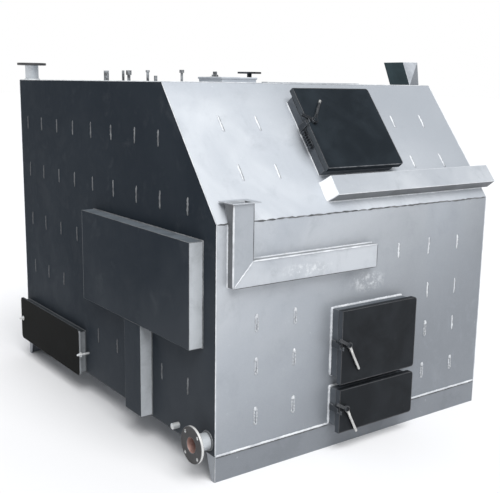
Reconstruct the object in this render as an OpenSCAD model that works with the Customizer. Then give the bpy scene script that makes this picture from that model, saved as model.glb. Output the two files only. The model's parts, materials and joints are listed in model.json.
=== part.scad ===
// Industrial solid-fuel hot-water boiler: a welded water-jacketed shell with a sloped front, a
// loading door on the slope, fire and ash doors below it, air ducts on the front and the left
// side, a bolted clean-out hatch and flanged return and supply connections.
// Sizes are in millimetres. X runs to the right, Y to the rear and Z up.

/* [Shell] */
// Width over the two side walls
body_width = 2000; // [1700:50:2400]
// Depth from the front wall to the rear wall
body_depth = 2500; // [2300:50:3000]
// Height from the floor to the top plate
body_height = 2000; // [1900:50:2300]
// Height of the base under the shell
base_height = 140; // [120:10:200]
// Height at which the front wall bends into the slope
bend_height = 1330; // [1300:10:1400]
// How far back the slope runs
slope_run = 520; // [480:10:600]
// Thickness of the outer plates
plate = 6; // [5:1:8]
// Room left for a weld where a piece passes through a plate or is set down on it
weld_gap = 0.2; // [0.2:0.1:0.5]

/* [Water jacket and furnace] */
// Clear water space between the outer and the inner plates
jacket_gap = 90; // [70:5:110]
// Thickness of the inner plates
liner = 8; // [6:1:10]
// Distance from the front wall to the fire bridge
bridge_at = 1700; // [1500:50:1900]
// Height of the top of the fire bridge
bridge_top = 1450; // [1300:25:1550]
// Thickness of the fire bridge
bridge_t = 90; // [70:10:120]
// Height of the top of the grate
grate_top = 402; // [398:1:408]
// Height of a grate bar
grate_bar_h = 24; // [20:1:28]
// Width of a grate bar
grate_bar_w = 44; // [36:2:52]
// Pitch of the grate bars
grate_pitch = 64; // [60:2:80]
// Gap between the grate and the plates round it
grate_room = 10; // [6:1:20]
// Width of the bearers under the grate
bearer_w = 40; // [30:5:60]
// Height of the bearers under the grate
bearer_h = 38; // [30:1:44]
// Distance from the grate's ends to its bearers
bearer_in = 200; // [150:10:300]

/* [Base] */
// Thickness of the front and rear skirt plates
skirt_t = 8; // [6:1:12]
// Distance from a side wall to its skid beam
skid_inset = 300; // [200:20:450]
// Width of a skid beam's flanges
skid_flange = 58; // [50:2:70]
// Thickness of a skid beam's web and flanges
skid_t = 8; // [6:1:10]
// Length of a corner gusset along the top
gusset_top = 70; // [50:5:100]
// Length of a corner gusset along the bottom
gusset_foot = 25; // [15:5:40]

/* [Doors] */
// Distance from the left wall to the left side of the door frames
door_x = 757; // [600:1:800]
// Width of the door frames
frame_w = 528; // [480:2:580]
// How far a door passes its frame on the hinge side
hinge_side = 40; // [38:1:42]
// How far a door laps its frame on the latch side
latch_side = 2; // [2:1:6]
// Thickness of the frame plates
frame_bar = 12; // [10:1:16]
// How far the frames stand out of the wall
frame_out = 55; // [45:1:65]
// Seal gap between a closed door and its frame
door_gap = 5; // [5:1:8]
// Depth of a door's folded tray
door_t = 30; // [26:1:36]
// Sheet thickness of a door
door_sheet = 5; // [4:1:6]
// Corner radius of a door on its hinge side
door_r = 18; // [12:1:24]
// How far a front door laps its frame at the top
front_lap_top = 4; // [2:1:8]
// How far a front door hangs below its frame
front_lap_low = 32; // [24:1:34]
// Height of the bottom of the fire door frame
fire_z = 427; // [424:1:440]
// Height of the fire door frame
fire_h = 380; // [340:5:420]
// Height of the ash door frame
ash_h = 214; // [200:1:216]
// Distance from the slope duct up to the loading door frame
load_clear = 43; // [40:1:50]
// Distance from the loading door frame to the top of the slope
load_upper = 135; // [120:1:150]
// How far the loading door laps its frame at the top
load_lap_top = 36; // [10:1:40]
// How far the loading door hangs below its frame
load_lap_low = 12; // [4:1:14]
// Room between the lining plug and the frame
plug_room = 16; // [14:1:24]
// How far the lining plug reaches into the frame
plug_in = 22; // [10:1:30]

/* [Hinges and latches] */
// Distance from a frame's side to its hinge pins
hinge_off = 18; // [18:0.5:20]
// Distance from a door's back to its hinge pins
hinge_back = 18; // [18:0.5:20]
// Radius of a hinge pin and of a latch spindle
pin_r = 7; // [6:0.5:8]
// Running clearance on a pin
pin_play = 0.06; // [0.03:0.01:0.09]
// Radius of a hinge eye
eye_r = 12; // [11:0.5:12]
// Height of a hinge eye
eye_h = 40; // [34:1:44]
// Thickness of a hinge ear
ear_t = 12; // [10:1:16]
// Distance from a frame's ends to its hinges
hinge_in = 40; // [36:1:44]
// Gap under a hinge eye
eye_rest = 0.3; // [0.2:0.1:0.5]
// How far a hinge pin stands over its eye
pin_over = 6; // [3:1:10]
// Depth of the frame's side that the ears are welded to
frame_hold = 45; // [40:1:48]
// Distance from a door's edge to its latch spindle
latch_in = 45; // [42:1:52]
// Radius of a latch hub
hub_r = 18; // [16:1:20]
// Thickness of a latch hub
hub_t = 16; // [14:1:18]
// Gap between a door and its latch hub
hub_gap = 2; // [1:0.5:3]
// Gap between a latch hub and the head of its spindle
head_gap = 0.5; // [0.3:0.1:1]
// Thickness of the head of a latch spindle
head_t = 4; // [3:0.5:5]
// How far the head of a latch spindle laps its hub
head_lip = 4; // [3:0.5:6]
// Gap between a door and its latch tongue
lever_out = 5; // [5:0.5:7]
// Length of a latch tongue from the spindle
tongue_len = 84; // [80:1:92]
// Width of a latch tongue
tongue_w = 16; // [14:1:18]
// Angle of a released latch tongue
tongue_up = 30; // [28:1:34]
// Thickness of a latch tongue
tongue_t = 10; // [8:1:12]
// Length of the neck of a latch lever
neck_len = 44; // [36:1:60]
// Length of a latch grip
grip_len = 120; // [100:5:140]
// Radius of a latch grip
grip_r = 8; // [7:0.5:9]
// Angle of a front latch grip below level
grip_down = 62; // [50:1:70]
// Angle of the loading latch grip above level
grip_rise = 52; // [46:1:60]
// How far the loading latch sits above the middle of its frame
load_latch_up = 50; // [30:1:60]
// Thickness of a latch keeper
keeper_t = 6; // [6:1:10]
// Depth of the frame's side that a keeper is welded to
keeper_hold = 34; // [30:1:45]
// Gap between a door's edge and its latch keeper
keeper_side = 6; // [6:0.5:8]
// Room round a tongue in its keeper
keeper_room = 5; // [5:0.5:7]
// Thickness of the keeper's lip in front of the tongue
keeper_lip = 8; // [6:1:12]
// How far a keeper reaches above and below the spindle
keeper_half = 20; // [19:1:28]

/* [Air ducts] */
// Sheet thickness of the ducts
duct_sheet = 3; // [2:0.5:5]
// Distance from the left wall to the front duct
front_duct_x = 65; // [50:5:120]
// Depth of the front duct
front_duct_depth = 50; // [40:2:54]
// Width of the front duct's rising leg
front_duct_leg = 120; // [100:5:150]
// Length of the front duct along the wall
front_duct_len = 966; // [800:2:1100]
// Distance from the bend down to the bottom of the front duct
front_duct_drop = 315; // [290:5:330]
// Height of the front duct's level leg
front_duct_h = 128; // [100:4:140]
// Distance from the bend up to the front duct's mouth
mouth_rise = 105; // [80:5:140]
// How far the back of the rising leg leans out over the slope at the mouth
mouth_flare = 30; // [20:1:40]
// How far the mouth's flange stands out on the left and at the front
mouth_lip = 10; // [6:1:14]
// How far the mouth's flange stands out on the right
mouth_right = 37; // [20:1:45]
// How far the mouth's flange reaches back over the slope
mouth_back = 68; // [50:1:70]
// Thickness of the flange at the front duct's mouth
mouth_t = 5; // [4:1:8]
// Distance from the left wall to the slope duct
slope_duct_x = 735; // [600:5:900]
// How far the slope duct's left end leans
slope_duct_hip = 32; // [10:2:50]
// How far the slope duct passes the right wall
slope_duct_over = 55; // [30:5:80]
// Distance up the slope to the slope duct
slope_duct_s = 70; // [50:1:90]
// Width of the slope duct up the slope
slope_duct_w = 120; // [100:2:130]
// Height of the slope duct over the slope
slope_duct_h = 70; // [50:2:80]
// Distance from the front wall to the side box
side_box_y = 117; // [110:1:160]
// Length of the side box
side_box_len = 1230; // [1100:10:1300]
// Height of the bottom of the side box
side_box_z = 686; // [650:2:720]
// Height of the side box
side_box_h = 548; // [480:4:600]
// Depth of the side box
side_box_d = 80; // [60:2:90]
// Distance from the front wall to the side duct
side_duct_y = 637; // [560:5:760]
// Width of the side duct
side_duct_w = 186; // [150:2:220]
// Depth of the side duct
side_duct_d = 74; // [56:2:78]
// Height of the bottom of the side duct
side_duct_z = 150; // [148:2:260]

/* [Hatches] */
// Distance from the side hatch frame to the rear wall
hatch_back = 20; // [18:1:40]
// Length of the side hatch frame
hatch_len = 970; // [760:10:970]
// Height of the bottom of the side hatch frame
hatch_z = 146; // [146:1:200]
// Height of the side hatch frame
hatch_h = 272; // [240:4:320]
// Width of the side hatch frame bars
hatch_bar = 30; // [24:2:40]
// How far the side hatch frame stands out
hatch_out = 43; // [36:1:48]
// Thickness of the side hatch cover
hatch_cover_t = 12; // [8:1:14]
// How far the side hatch cover laps its frame
hatch_lap = 18; // [10:1:18]
// Corner radius of the side hatch cover
hatch_r = 28; // [20:2:40]
// Side of the square top hatch
top_hatch_w = 250; // [200:10:270]
// Width of the top hatch frame's bars
top_hatch_bar = 20; // [14:1:40]
// Height of the top hatch frame
top_hatch_h = 20; // [14:1:26]
// Thickness of the top hatch cover
top_hatch_t = 12; // [8:1:14]
// How far the top hatch cover laps its frame
top_hatch_lap = 5; // [4:1:12]
// Distance from the left wall to the centre of the top hatch
top_hatch_x = 603; // [560:1:640]
// Distance from the front wall to the centre of the top hatch
top_hatch_y = 800; // [780:10:860]

/* [Connections] */
// Outer diameter of the connection flanges
flange_od = 195; // [185:5:200]
// Thickness of the connection flanges
flange_t = 16; // [14:1:20]
// Bolt circle of the connection flanges
flange_pcd = 160; // [150:2:164]
// Diameter of the bolt holes
flange_hole = 18; // [14:1:19]
// Number of bolt holes
flange_holes = 4; // [4:4:8]
// Outer diameter of the connection pipes
pipe_od = 89; // [76:1:95]
// Wall of the connection pipes
pipe_wall = 3.5; // [3:0.5:6]
// How far the return flange's face stands out
return_out = 100; // [92:2:130]
// Distance from the front wall to the return pipe
return_y = 67; // [66:1:80]
// Height of the return pipe
return_z = 207; // [205:1:230]
// How far the supply flange's face stands up
supply_up = 115; // [100:5:150]
// Distance from the left wall to the supply pipe
supply_x = 56; // [56:1:90]
// Distance from the rear wall to the supply pipe
supply_y = 90; // [80:5:140]
// Outer diameter of the flue collar
flue_od = 400; // [300:10:450]
// Wall of the flue collar
flue_wall = 5; // [4:1:8]
// Length of the flue collar
flue_len = 100; // [90:10:160]
// Distance from the top plate down to the flue collar's centre
flue_drop = 500; // [400:10:600]
// Outer diameter of the drain nipple
drain_od = 34; // [26:1:42]
// Length of the drain nipple
drain_len = 40; // [30:2:60]
// Distance from the front wall to the drain nipple
drain_y = 354; // [300:2:400]
// Height of the drain nipple
drain_z = 190; // [180:2:220]
// Distance from the left wall to the row of top nipples
nipple_x = 300; // [200:10:420]
// Length of the tall top nipples
nipple_tall = 66; // [50:2:80]
// Length of the short top nipple
nipple_short = 34; // [24:2:44]
// Diameter of the blank disc on the top
disc_od = 144; // [130:2:160]
// Thickness of the blank disc
disc_t = 10; // [8:1:14]
// Height of the top of the blank disc
disc_up = 66; // [60:2:80]
// Outer diameter of the blank disc's stem
disc_stem = 28; // [24:2:50]
// Distance from the left wall to the blank disc
disc_x = 850; // [840:5:900]
// Distance from the front wall to the blank disc
disc_y = 925; // [900:5:980]
// Width of the flat strip along the top edge
strip_w = 60; // [40:5:90]
// Thickness of the flat strip
strip_t = 8; // [6:1:14]
// Length of the flat strip
strip_len = 700; // [500:20:740]
// Distance from the left wall to the flat strip
strip_x = 700; // [680:10:800]
// Distance from the top edge to the flat strip
strip_back = 20; // [10:5:60]
// Distance from the right wall to the air stub
stub_in = 50; // [30:5:90]
// Width of the air stub
stub_w = 84; // [70:2:110]
// Depth of the air stub
stub_d = 175; // [140:5:220]
// Height of the air stub
stub_h = 148; // [120:4:180]
// How far the air stub's left side leans back
stub_lean = 68; // [40:2:90]
// How far the air stub's right side leans back
stub_lean_right = 22; // [10:2:40]
// Distance from the top edge to the air stub
stub_back = 40; // [30:5:70]

/* [Hidden] */
$fn = 48;
eps = 1;
shell_z = base_height + plate;
slope_angle = atan2(body_height - bend_height, slope_run);
slope_len = sqrt(pow(body_height - bend_height, 2) + pow(slope_run, 2));
jacket_in = plate + jacket_gap;
jacket_out = jacket_in + liner;
door_right = door_x + frame_w;
fire_top = fire_z + fire_h;
ash_top = shell_z + ash_h;
load_s = slope_duct_s + slope_duct_w + load_clear;
load_top = slope_len - load_upper;
load_h = load_top - load_s;
fire_mid = fire_h / 2;
ash_mid = ash_h / 2;
load_mid = load_h / 2 + load_latch_up;
door_back = frame_out + door_gap;
door_front = door_back + door_t;
hub_back = door_front + hub_gap;
lever_back = door_front + lever_out;
frame_foot = frame_out - frame_hold;
keeper_foot = frame_out - keeper_hold;
frame_brow = frame_out - door_gap;
pin_x = frame_w + hinge_off;
pin_z = door_back - hinge_back;
rim_out = frame_w + hinge_side;
rim_in = rim_out - door_sheet;
pipe_id = pipe_od - 2 * pipe_wall;
left_reach = return_out;
right_reach = slope_duct_over;
front_reach = lever_back + tongue_t + keeper_room + keeper_lip;
rear_reach = flue_len;
mid_x = (body_width + right_reach - left_reach) / 2;
mid_y = (body_depth + rear_reach - front_reach) / 2;
grate_front = jacket_out + grate_room;
grate_back = bridge_at - grate_room;
grate_span = body_width - 2 * (jacket_out + grate_room);
grate_count = floor((grate_span - grate_bar_w) / grate_pitch) + 1;
grate_used = (grate_count - 1) * grate_pitch + grate_bar_w;
front_duct_z = bend_height - front_duct_drop;
front_duct_top = bend_height + mouth_rise;
hatch_y = body_depth - hatch_back - hatch_len;
flue_z = body_height - flue_drop;
// Top nipples: distance from the front wall, pipe diameter, length, cap diameter, cap height
nipples = [[1750, 33, nipple_tall, 0, 0], [1515, 16, nipple_tall, 0, 0],
    [1440, 20, nipple_tall, 34, 28], [1200, 16, nipple_tall, 24, 12],
    [1105, 20, nipple_short, 0, 0], [810, 14, nipple_tall, 27, 16]];

// Frames of reference
module placed() {
    translate([-mid_x, -mid_y, 0])
        children();
}

module on_front(x, z) {
    placed()
        translate([x, 0, z])
            rotate([90, 0, 0])
                children();
}

module on_slope(x, s) {
    placed()
        translate([x, 0, bend_height])
            rotate([slope_angle, 0, 0])
                translate([0, s, 0])
                    children();
}

// A profile in the Y-Z plane, swept along X
module across(x0, x1) {
    placed()
        translate([x0, 0, 0])
            rotate([90, 0, 90])
                linear_extrude(x1 - x0)
                    children();
}

// Points of the front's outline at depth d inside the outer face
function low_at(z, d) = [d, z];
function bend_at(d) = [d, bend_height - d * tan((90 - slope_angle) / 2)];
function brow_at(d) = [slope_run + d * tan(slope_angle / 2), body_height - d];
function rise_at(s, d) = [s * cos(slope_angle) + d * sin(slope_angle),
    bend_height + s * sin(slope_angle) - d * cos(slope_angle)];

module band(points_out, points_in) {
    polygon(concat(points_out, [for (i = [len(points_in) - 1:-1:0]) points_in[i]]));
}

module front_band(z0, d0, d1) {
    band([low_at(z0, d0), bend_at(d0)], [low_at(z0, d1), bend_at(d1)]);
}

module rounded(w, h, r) {
    union() {
        translate([r, 0])
            square([w - 2 * r, h]);
        translate([0, r])
            square([w, h - 2 * r]);
        for (x = [r, w - r], y = [r, h - r])
            translate([x, y])
                circle(r);
    }
}

// Base
module base_skirts() {
    color("silver")
        placed()
            for (y = [0, body_depth - skirt_t])
                translate([0, y, 0])
                    cube([body_width, skirt_t, base_height]);
}

module skid_profile() {
    difference() {
        square([skid_flange, base_height]);
        translate([skid_t, skid_t])
            square([skid_flange, base_height - 2 * skid_t]);
    }
}

module skid_beams() {
    color("silver")
        placed() {
            translate([skid_inset, body_depth - skirt_t, 0])
                rotate([90, 0, 0])
                    linear_extrude(body_depth - 2 * skirt_t)
                        skid_profile();
            translate([body_width - skid_inset, skirt_t, 0])
                rotate([90, 0, 180])
                    linear_extrude(body_depth - 2 * skirt_t)
                        skid_profile();
        }
}

module gusset_profile() {
    polygon([[0, 0], [gusset_foot, 0], [gusset_top, base_height], [0, base_height]]);
}

module base_gussets() {
    color("silver")
        for (x = [0, body_width - plate]) {
            across(x, x + plate)
                translate([skirt_t, 0])
                    gusset_profile();
            across(x, x + plate)
                translate([body_depth - skirt_t, 0])
                    mirror([1, 0])
                        gusset_profile();
        }
}

// Outer shell
module floor_plate() {
    color("silver")
        placed()
            translate([0, 0, base_height])
                cube([body_width, body_depth, plate]);
}

module side_profile() {
    polygon([[0, shell_z], [body_depth, shell_z], [body_depth, body_height],
        [slope_run, body_height], [0, bend_height]]);
}

module left_wall() {
    color("dimgray")
        across(0, plate)
            difference() {
                side_profile();
                translate([return_y, return_z])
                    circle(d = pipe_od + 2 * weld_gap);
            }
}

module right_wall() {
    color("silver")
        across(body_width - plate, body_width)
            side_profile();
}

module rear_wall() {
    color("silver")
        placed()
            translate([plate, body_depth, shell_z])
                rotate([90, 0, 0])
                    linear_extrude(plate)
                        difference() {
                            square([body_width - 2 * plate, body_height - shell_z]);
                            translate([body_width / 2 - plate, flue_z - shell_z])
                                circle(d = flue_od + 2 * weld_gap, $fn = 96);
                        }
}

module top_plate() {
    color("silver")
        difference() {
            across(plate, body_width - plate)
                polygon([brow_at(0), [body_depth - plate, body_height],
                    [body_depth - plate, body_height - plate], brow_at(plate)]);
            placed()
                translate([supply_x, body_depth - supply_y, body_height - plate - eps])
                    cylinder(d = pipe_od + 2 * weld_gap, h = plate + 2 * eps);
        }
}

module front_wall_left() {
    color("silver")
        across(plate, door_x)
            front_band(shell_z, 0, plate);
}

module front_wall_right() {
    color("silver")
        across(door_right, body_width - plate)
            front_band(shell_z, 0, plate);
}

module front_wall_bands() {
    color("silver")
        across(door_x, door_right) {
            front_band(fire_top, 0, plate);
            translate([0, ash_top])
                square([plate, fire_z - ash_top]);
        }
}

module slope_plate() {
    band([bend_at(0), brow_at(0)], [bend_at(plate), brow_at(plate)]);
}

module slope_left() {
    color("gainsboro")
        across(plate, door_x)
            slope_plate();
}

module slope_right() {
    color("gainsboro")
        across(door_right, body_width - plate)
            slope_plate();
}

module slope_bands() {
    low = load_s - weld_gap;
    high = load_top + weld_gap;
    color("gainsboro")
        across(door_x, door_right) {
            band([bend_at(0), rise_at(low, 0)], [bend_at(plate), rise_at(low, plate)]);
            band([rise_at(high, 0), brow_at(0)], [rise_at(high, plate), brow_at(plate)]);
        }
}

// Furnace inside the water jacket
module furnace_sides() {
    color("sienna")
        for (x = [jacket_in, body_width - jacket_out])
            across(x, x + liner)
                polygon([[jacket_in, shell_z], [body_depth - plate, shell_z],
                    [body_depth - plate, body_height - jacket_in], brow_at(jacket_in),
                    bend_at(jacket_in)]);
}

module furnace_front_sides() {
    color("sienna")
        for (x = [[jacket_out, door_x], [door_right, body_width - jacket_out]])
            across(x[0], x[1])
                band([low_at(shell_z, jacket_in), bend_at(jacket_in), brow_at(jacket_in)],
                    [low_at(shell_z, jacket_out), bend_at(jacket_out), brow_at(jacket_out)]);
}

module furnace_front_bands() {
    low = load_s - weld_gap;
    high = load_top + weld_gap;
    color("sienna")
        across(door_x, door_right) {
            translate([jacket_in, ash_top])
                square([liner, fire_z - ash_top]);
            band([low_at(fire_top, jacket_in), bend_at(jacket_in), rise_at(low, jacket_in)],
                [low_at(fire_top, jacket_out), bend_at(jacket_out), rise_at(low, jacket_out)]);
            band([rise_at(high, jacket_in), brow_at(jacket_in)],
                [rise_at(high, jacket_out), brow_at(jacket_out)]);
        }
}

module furnace_crown() {
    color("sienna")
        across(jacket_out, body_width - jacket_out)
            polygon([brow_at(jacket_in), [body_depth - plate, body_height - jacket_in],
                [body_depth - plate, body_height - jacket_out], brow_at(jacket_out)]);
}

module fire_bridge() {
    color("sienna")
        across(jacket_out, body_width - jacket_out)
            translate([bridge_at, shell_z])
                difference() {
                    square([bridge_t, bridge_top - shell_z]);
                    translate([liner, -eps])
                        square([bridge_t - 2 * liner, bridge_top - shell_z - liner + eps]);
                }
}

module grate() {
    color("dimgray")
        placed()
            union() {
                for (i = [0:grate_count - 1])
                    translate([(body_width - grate_used) / 2 + i * grate_pitch, grate_front,
                        grate_top - grate_bar_h])
                        cube([grate_bar_w, grate_back - grate_front, grate_bar_h]);
                for (y = [grate_front + bearer_in, grate_back - bearer_in])
                    translate([jacket_out, y, grate_top - grate_bar_h - bearer_h])
                        cube([body_width - 2 * jacket_out, bearer_w, bearer_h]);
            }
}

// Doors, drawn on their wall: x to the right, y up the wall and z out of it
module frame_tube(h) {
    translate([0, 0, -jacket_out])
        linear_extrude(jacket_out + frame_out)
            difference() {
                square([frame_w, h]);
                translate([frame_bar, frame_bar])
                    square([frame_w - 2 * frame_bar, h - 2 * frame_bar]);
            }
}

// A door's outline, with square corners on the latch side and rounded ones on the hinge side
module door_outline(w, h, r) {
    union() {
        square([w - r, h]);
        translate([0, r])
            square([w, h - 2 * r]);
        for (y = [r, h - r])
            translate([w - r, y])
                circle(r);
    }
}

// Heights of the two hinges on a frame of height h
function hinge_at(h) = [hinge_in, h - hinge_in - eye_h];

module door_tray(h, lap_low, lap_top) {
    width = latch_side + rim_out;
    height = h + lap_low + lap_top;
    difference() {
        translate([-latch_side, -lap_low, door_back])
            linear_extrude(door_t)
                door_outline(width, height, door_r);
        translate([door_sheet - latch_side, door_sheet - lap_low, door_back - eps])
            linear_extrude(door_t - door_sheet + eps)
                door_outline(width - 2 * door_sheet, height - 2 * door_sheet, door_r - door_sheet);
    }
}

// A bored eye behind the door's right side, with the strap that joins it to the rim
module hinge_eye() {
    rotate([90, 0, 0])
        linear_extrude(eye_h)
            difference() {
                union() {
                    translate([pin_x, pin_z])
                        circle(eye_r);
                    polygon([[pin_x, pin_z], [pin_x, pin_z + eye_r], [rim_in, door_back],
                        [rim_in, door_back + door_sheet], [rim_out, door_back + door_sheet],
                        [rim_out, door_back], [pin_x + eye_r, pin_z]]);
                }
                translate([pin_x, pin_z])
                    circle(pin_r + pin_play);
            }
}

module door_panel(h, mid, lap_low, lap_top) {
    union() {
        door_tray(h, lap_low, lap_top);
        for (y = hinge_at(h))
            translate([0, y + eye_rest + eye_h, 0])
                hinge_eye();
        latch_spindle(mid);
    }
}

module door_lining(h, lap_low, lap_top) {
    inset = frame_bar + plug_room;
    width = latch_side + rim_out - 2 * door_sheet;
    height = h + lap_low + lap_top - 2 * door_sheet;
    union() {
        translate([door_sheet - latch_side, door_sheet - lap_low, door_back])
            linear_extrude(door_t - door_sheet)
                door_outline(width, height, door_r - door_sheet);
        translate([inset, inset, door_back - plug_in])
            cube([frame_w - 2 * inset, h - 2 * inset, plug_in]);
    }
}

// The spindle that a latch lever turns on, with its retaining head
module latch_spindle(mid) {
    reach = hub_gap + hub_t + head_gap;
    translate([latch_in - latch_side, mid, door_front]) {
        translate([0, 0, -eps])
            cylinder(r = pin_r, h = eps + reach);
        translate([0, 0, reach])
            cylinder(r = pin_r + head_lip, h = head_t);
    }
}

module latch_arm(length, angle) {
    translate([0, 0, lever_back])
        rotate([0, 0, angle])
            translate([0, -tongue_w / 2, 0])
                cube([length, tongue_w, tongue_t]);
}

module latch_lever(mid, grip_angle) {
    translate([latch_in - latch_side, mid, 0])
        difference() {
            union() {
                translate([0, 0, hub_back])
                    cylinder(r = hub_r, h = hub_t);
                latch_arm(tongue_len, 180 - tongue_up);
                latch_arm(neck_len, grip_angle);
            }
            translate([0, 0, hub_back - eps])
                cylinder(r = pin_r + pin_play, h = hub_t + 2 * eps);
        }
}

module latch_grip(mid, grip_angle) {
    translate([latch_in - latch_side, mid, lever_back + tongue_t / 2])
        rotate([0, 0, grip_angle])
            translate([neck_len, 0, 0])
                rotate([0, 90, 0]) {
                    cylinder(r = grip_r, h = grip_len);
                    translate([0, 0, grip_len])
                        sphere(r = grip_r);
                }
}

// Ears on the frame's right side, each with the pin that carries a hinge eye
module hinge_ears(h) {
    for (y = hinge_at(h)) {
        translate([0, y, 0])
            rotate([90, 0, 0])
                linear_extrude(ear_t)
                    union() {
                        translate([pin_x, pin_z])
                            circle(eye_r);
                        polygon([[frame_w, frame_foot], [frame_w, frame_brow],
                            [pin_x, frame_brow], [pin_x + eye_r, pin_z],
                            [pin_x, pin_z - eye_r]]);
                    }
        translate([pin_x, y - eps, pin_z])
            rotate([-90, 0, 0])
                cylinder(r = pin_r, h = eps + eye_rest + eye_h + pin_over);
    }
}

// A notched plate on the frame's left side that the latch tongue drops into
module keeper(mid) {
    near = lever_back - keeper_room;
    far = lever_back + tongue_t + keeper_room;
    rest = -tongue_w / 2 - keeper_room;
    side = latch_side + keeper_side;
    translate([-side, mid, 0])
        rotate([0, -90, 0])
            linear_extrude(keeper_t)
                polygon([[keeper_foot, -keeper_half], [keeper_foot, keeper_half],
                    [near, tongue_w / 2], [near, rest], [far, rest], [far, 0],
                    [far + keeper_lip, 0], [far + keeper_lip, rest - keeper_t],
                    [frame_out, -keeper_half]]);
    translate([-side, mid - keeper_half, keeper_foot])
        cube([side, 2 * keeper_half, frame_brow - door_gap - keeper_foot]);
}

module fire_frame() {
    color("black")
        on_front(door_x, fire_z)
            frame_tube(fire_h);
}

module fire_door() {
    color("black")
        on_front(door_x, fire_z)
            door_panel(fire_h, fire_mid, front_lap_low, front_lap_top);
}

module fire_lining() {
    color("tan")
        on_front(door_x, fire_z)
            door_lining(fire_h, front_lap_low, front_lap_top);
}

module fire_latch() {
    color("black")
        on_front(door_x, fire_z)
            latch_lever(fire_mid, -grip_down);
}

module fire_grip() {
    color("white")
        on_front(door_x, fire_z)
            latch_grip(fire_mid, -grip_down);
}

module ash_frame() {
    color("black")
        on_front(door_x, shell_z)
            frame_tube(ash_h);
}

module ash_door() {
    color("black")
        on_front(door_x, shell_z)
            door_panel(ash_h, ash_mid, front_lap_low, front_lap_top);
}

module ash_latch() {
    color("black")
        on_front(door_x, shell_z)
            latch_lever(ash_mid, -grip_down);
}

module ash_grip() {
    color("white")
        on_front(door_x, shell_z)
            latch_grip(ash_mid, -grip_down);
}

module load_frame() {
    color("black")
        on_slope(door_x, load_s)
            frame_tube(load_h);
}

module load_door() {
    color("black")
        on_slope(door_x, load_s)
            door_panel(load_h, load_mid, load_lap_low, load_lap_top);
}

module load_lining() {
    color("tan")
        on_slope(door_x, load_s)
            door_lining(load_h, load_lap_low, load_lap_top);
}

module load_latch() {
    color("black")
        on_slope(door_x, load_s)
            latch_lever(load_mid, grip_rise);
}

module load_grip() {
    color("white")
        on_slope(door_x, load_s)
            latch_grip(load_mid, grip_rise);
}

module door_ears() {
    color("black") {
        on_front(door_x, fire_z)
            hinge_ears(fire_h);
        on_front(door_x, shell_z)
            hinge_ears(ash_h);
        on_slope(door_x, load_s)
            hinge_ears(load_h);
    }
}

module latch_keepers() {
    color("black") {
        on_front(door_x, fire_z)
            keeper(fire_mid);
        on_front(door_x, shell_z)
            keeper(ash_mid);
        on_slope(door_x, load_s)
            keeper(load_mid);
    }
}

// Air ducts
module front_duct_leg_side(inset) {
    polygon([[-front_duct_depth + inset, front_duct_z + inset], [-inset, front_duct_z + inset],
        [-inset, bend_height], [mouth_flare - inset, front_duct_top],
        [-front_duct_depth + inset, front_duct_top]]);
}

module front_air_duct() {
    left = front_duct_x;
    right = front_duct_x + front_duct_leg;
    color("silver")
        difference() {
            union() {
                across(left, right)
                    front_duct_leg_side(0);
                placed() {
                    translate([left, -front_duct_depth, front_duct_z])
                        cube([front_duct_len, front_duct_depth, front_duct_h]);
                    translate([left - mouth_lip, -front_duct_depth - mouth_lip,
                        front_duct_top - mouth_t])
                        cube([mouth_lip + front_duct_leg + mouth_right,
                            mouth_lip + front_duct_depth + mouth_back, mouth_t]);
                }
            }
            across(left + duct_sheet, right - duct_sheet)
                front_duct_leg_side(duct_sheet);
            placed() {
                translate([left + duct_sheet, duct_sheet - front_duct_depth,
                    front_duct_z + duct_sheet])
                    cube([front_duct_len - 2 * duct_sheet, front_duct_depth - 2 * duct_sheet,
                        front_duct_h - 2 * duct_sheet]);
                translate([left + duct_sheet, duct_sheet - front_duct_depth,
                    front_duct_top - mouth_t])
                    cube([front_duct_leg - 2 * duct_sheet,
                        front_duct_depth + mouth_flare - 2 * duct_sheet, mouth_t + eps]);
            }
        }
}

module slope_duct_side(length, inset) {
    polygon([[inset, inset], [length, inset], [length, slope_duct_h - inset],
        [inset + slope_duct_hip, slope_duct_h - inset]]);
}

module slope_air_duct() {
    length = body_width + slope_duct_over - slope_duct_x;
    color("gainsboro")
        on_slope(slope_duct_x, slope_duct_s)
            translate([0, slope_duct_w, weld_gap])
                rotate([90, 0, 0])
                    difference() {
                        linear_extrude(slope_duct_w)
                            slope_duct_side(length, 0);
                        translate([0, 0, duct_sheet])
                            linear_extrude(slope_duct_w - 2 * duct_sheet)
                                slope_duct_side(length + eps, duct_sheet);
                    }
}

module wall_cover(d, w, h) {
    difference() {
        translate([-d, 0, 0])
            cube([d, w, h]);
        translate([duct_sheet - d, duct_sheet, duct_sheet])
            cube([d, w - 2 * duct_sheet, h - 2 * duct_sheet]);
    }
}

module side_air_box() {
    color("dimgray")
        placed()
            translate([0, side_box_y, side_box_z])
                wall_cover(side_box_d, side_box_len, side_box_h);
}

module side_air_duct() {
    color("dimgray")
        placed()
            translate([0, side_duct_y, side_duct_z])
                wall_cover(side_duct_d, side_duct_w, side_box_z - side_duct_z);
}

// Hatches
module hatch_frame() {
    color("dimgray")
        placed()
            translate([0, hatch_y, hatch_z])
                rotate([90, 0, -90])
                    mirror([1, 0, 0])
                        linear_extrude(hatch_out)
                            difference() {
                                square([hatch_len, hatch_h]);
                                translate([hatch_bar, hatch_bar])
                                    square([hatch_len - 2 * hatch_bar,
                                        hatch_h - 2 * hatch_bar]);
                            }
}

module hatch_cover() {
    color("black")
        placed()
            translate([-hatch_out, hatch_y - hatch_lap, hatch_z - hatch_lap])
                rotate([90, 0, -90])
                    mirror([1, 0, 0])
                        linear_extrude(hatch_cover_t)
                            rounded(hatch_len + 2 * hatch_lap, hatch_h + 2 * hatch_lap,
                                hatch_r);
}

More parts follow.
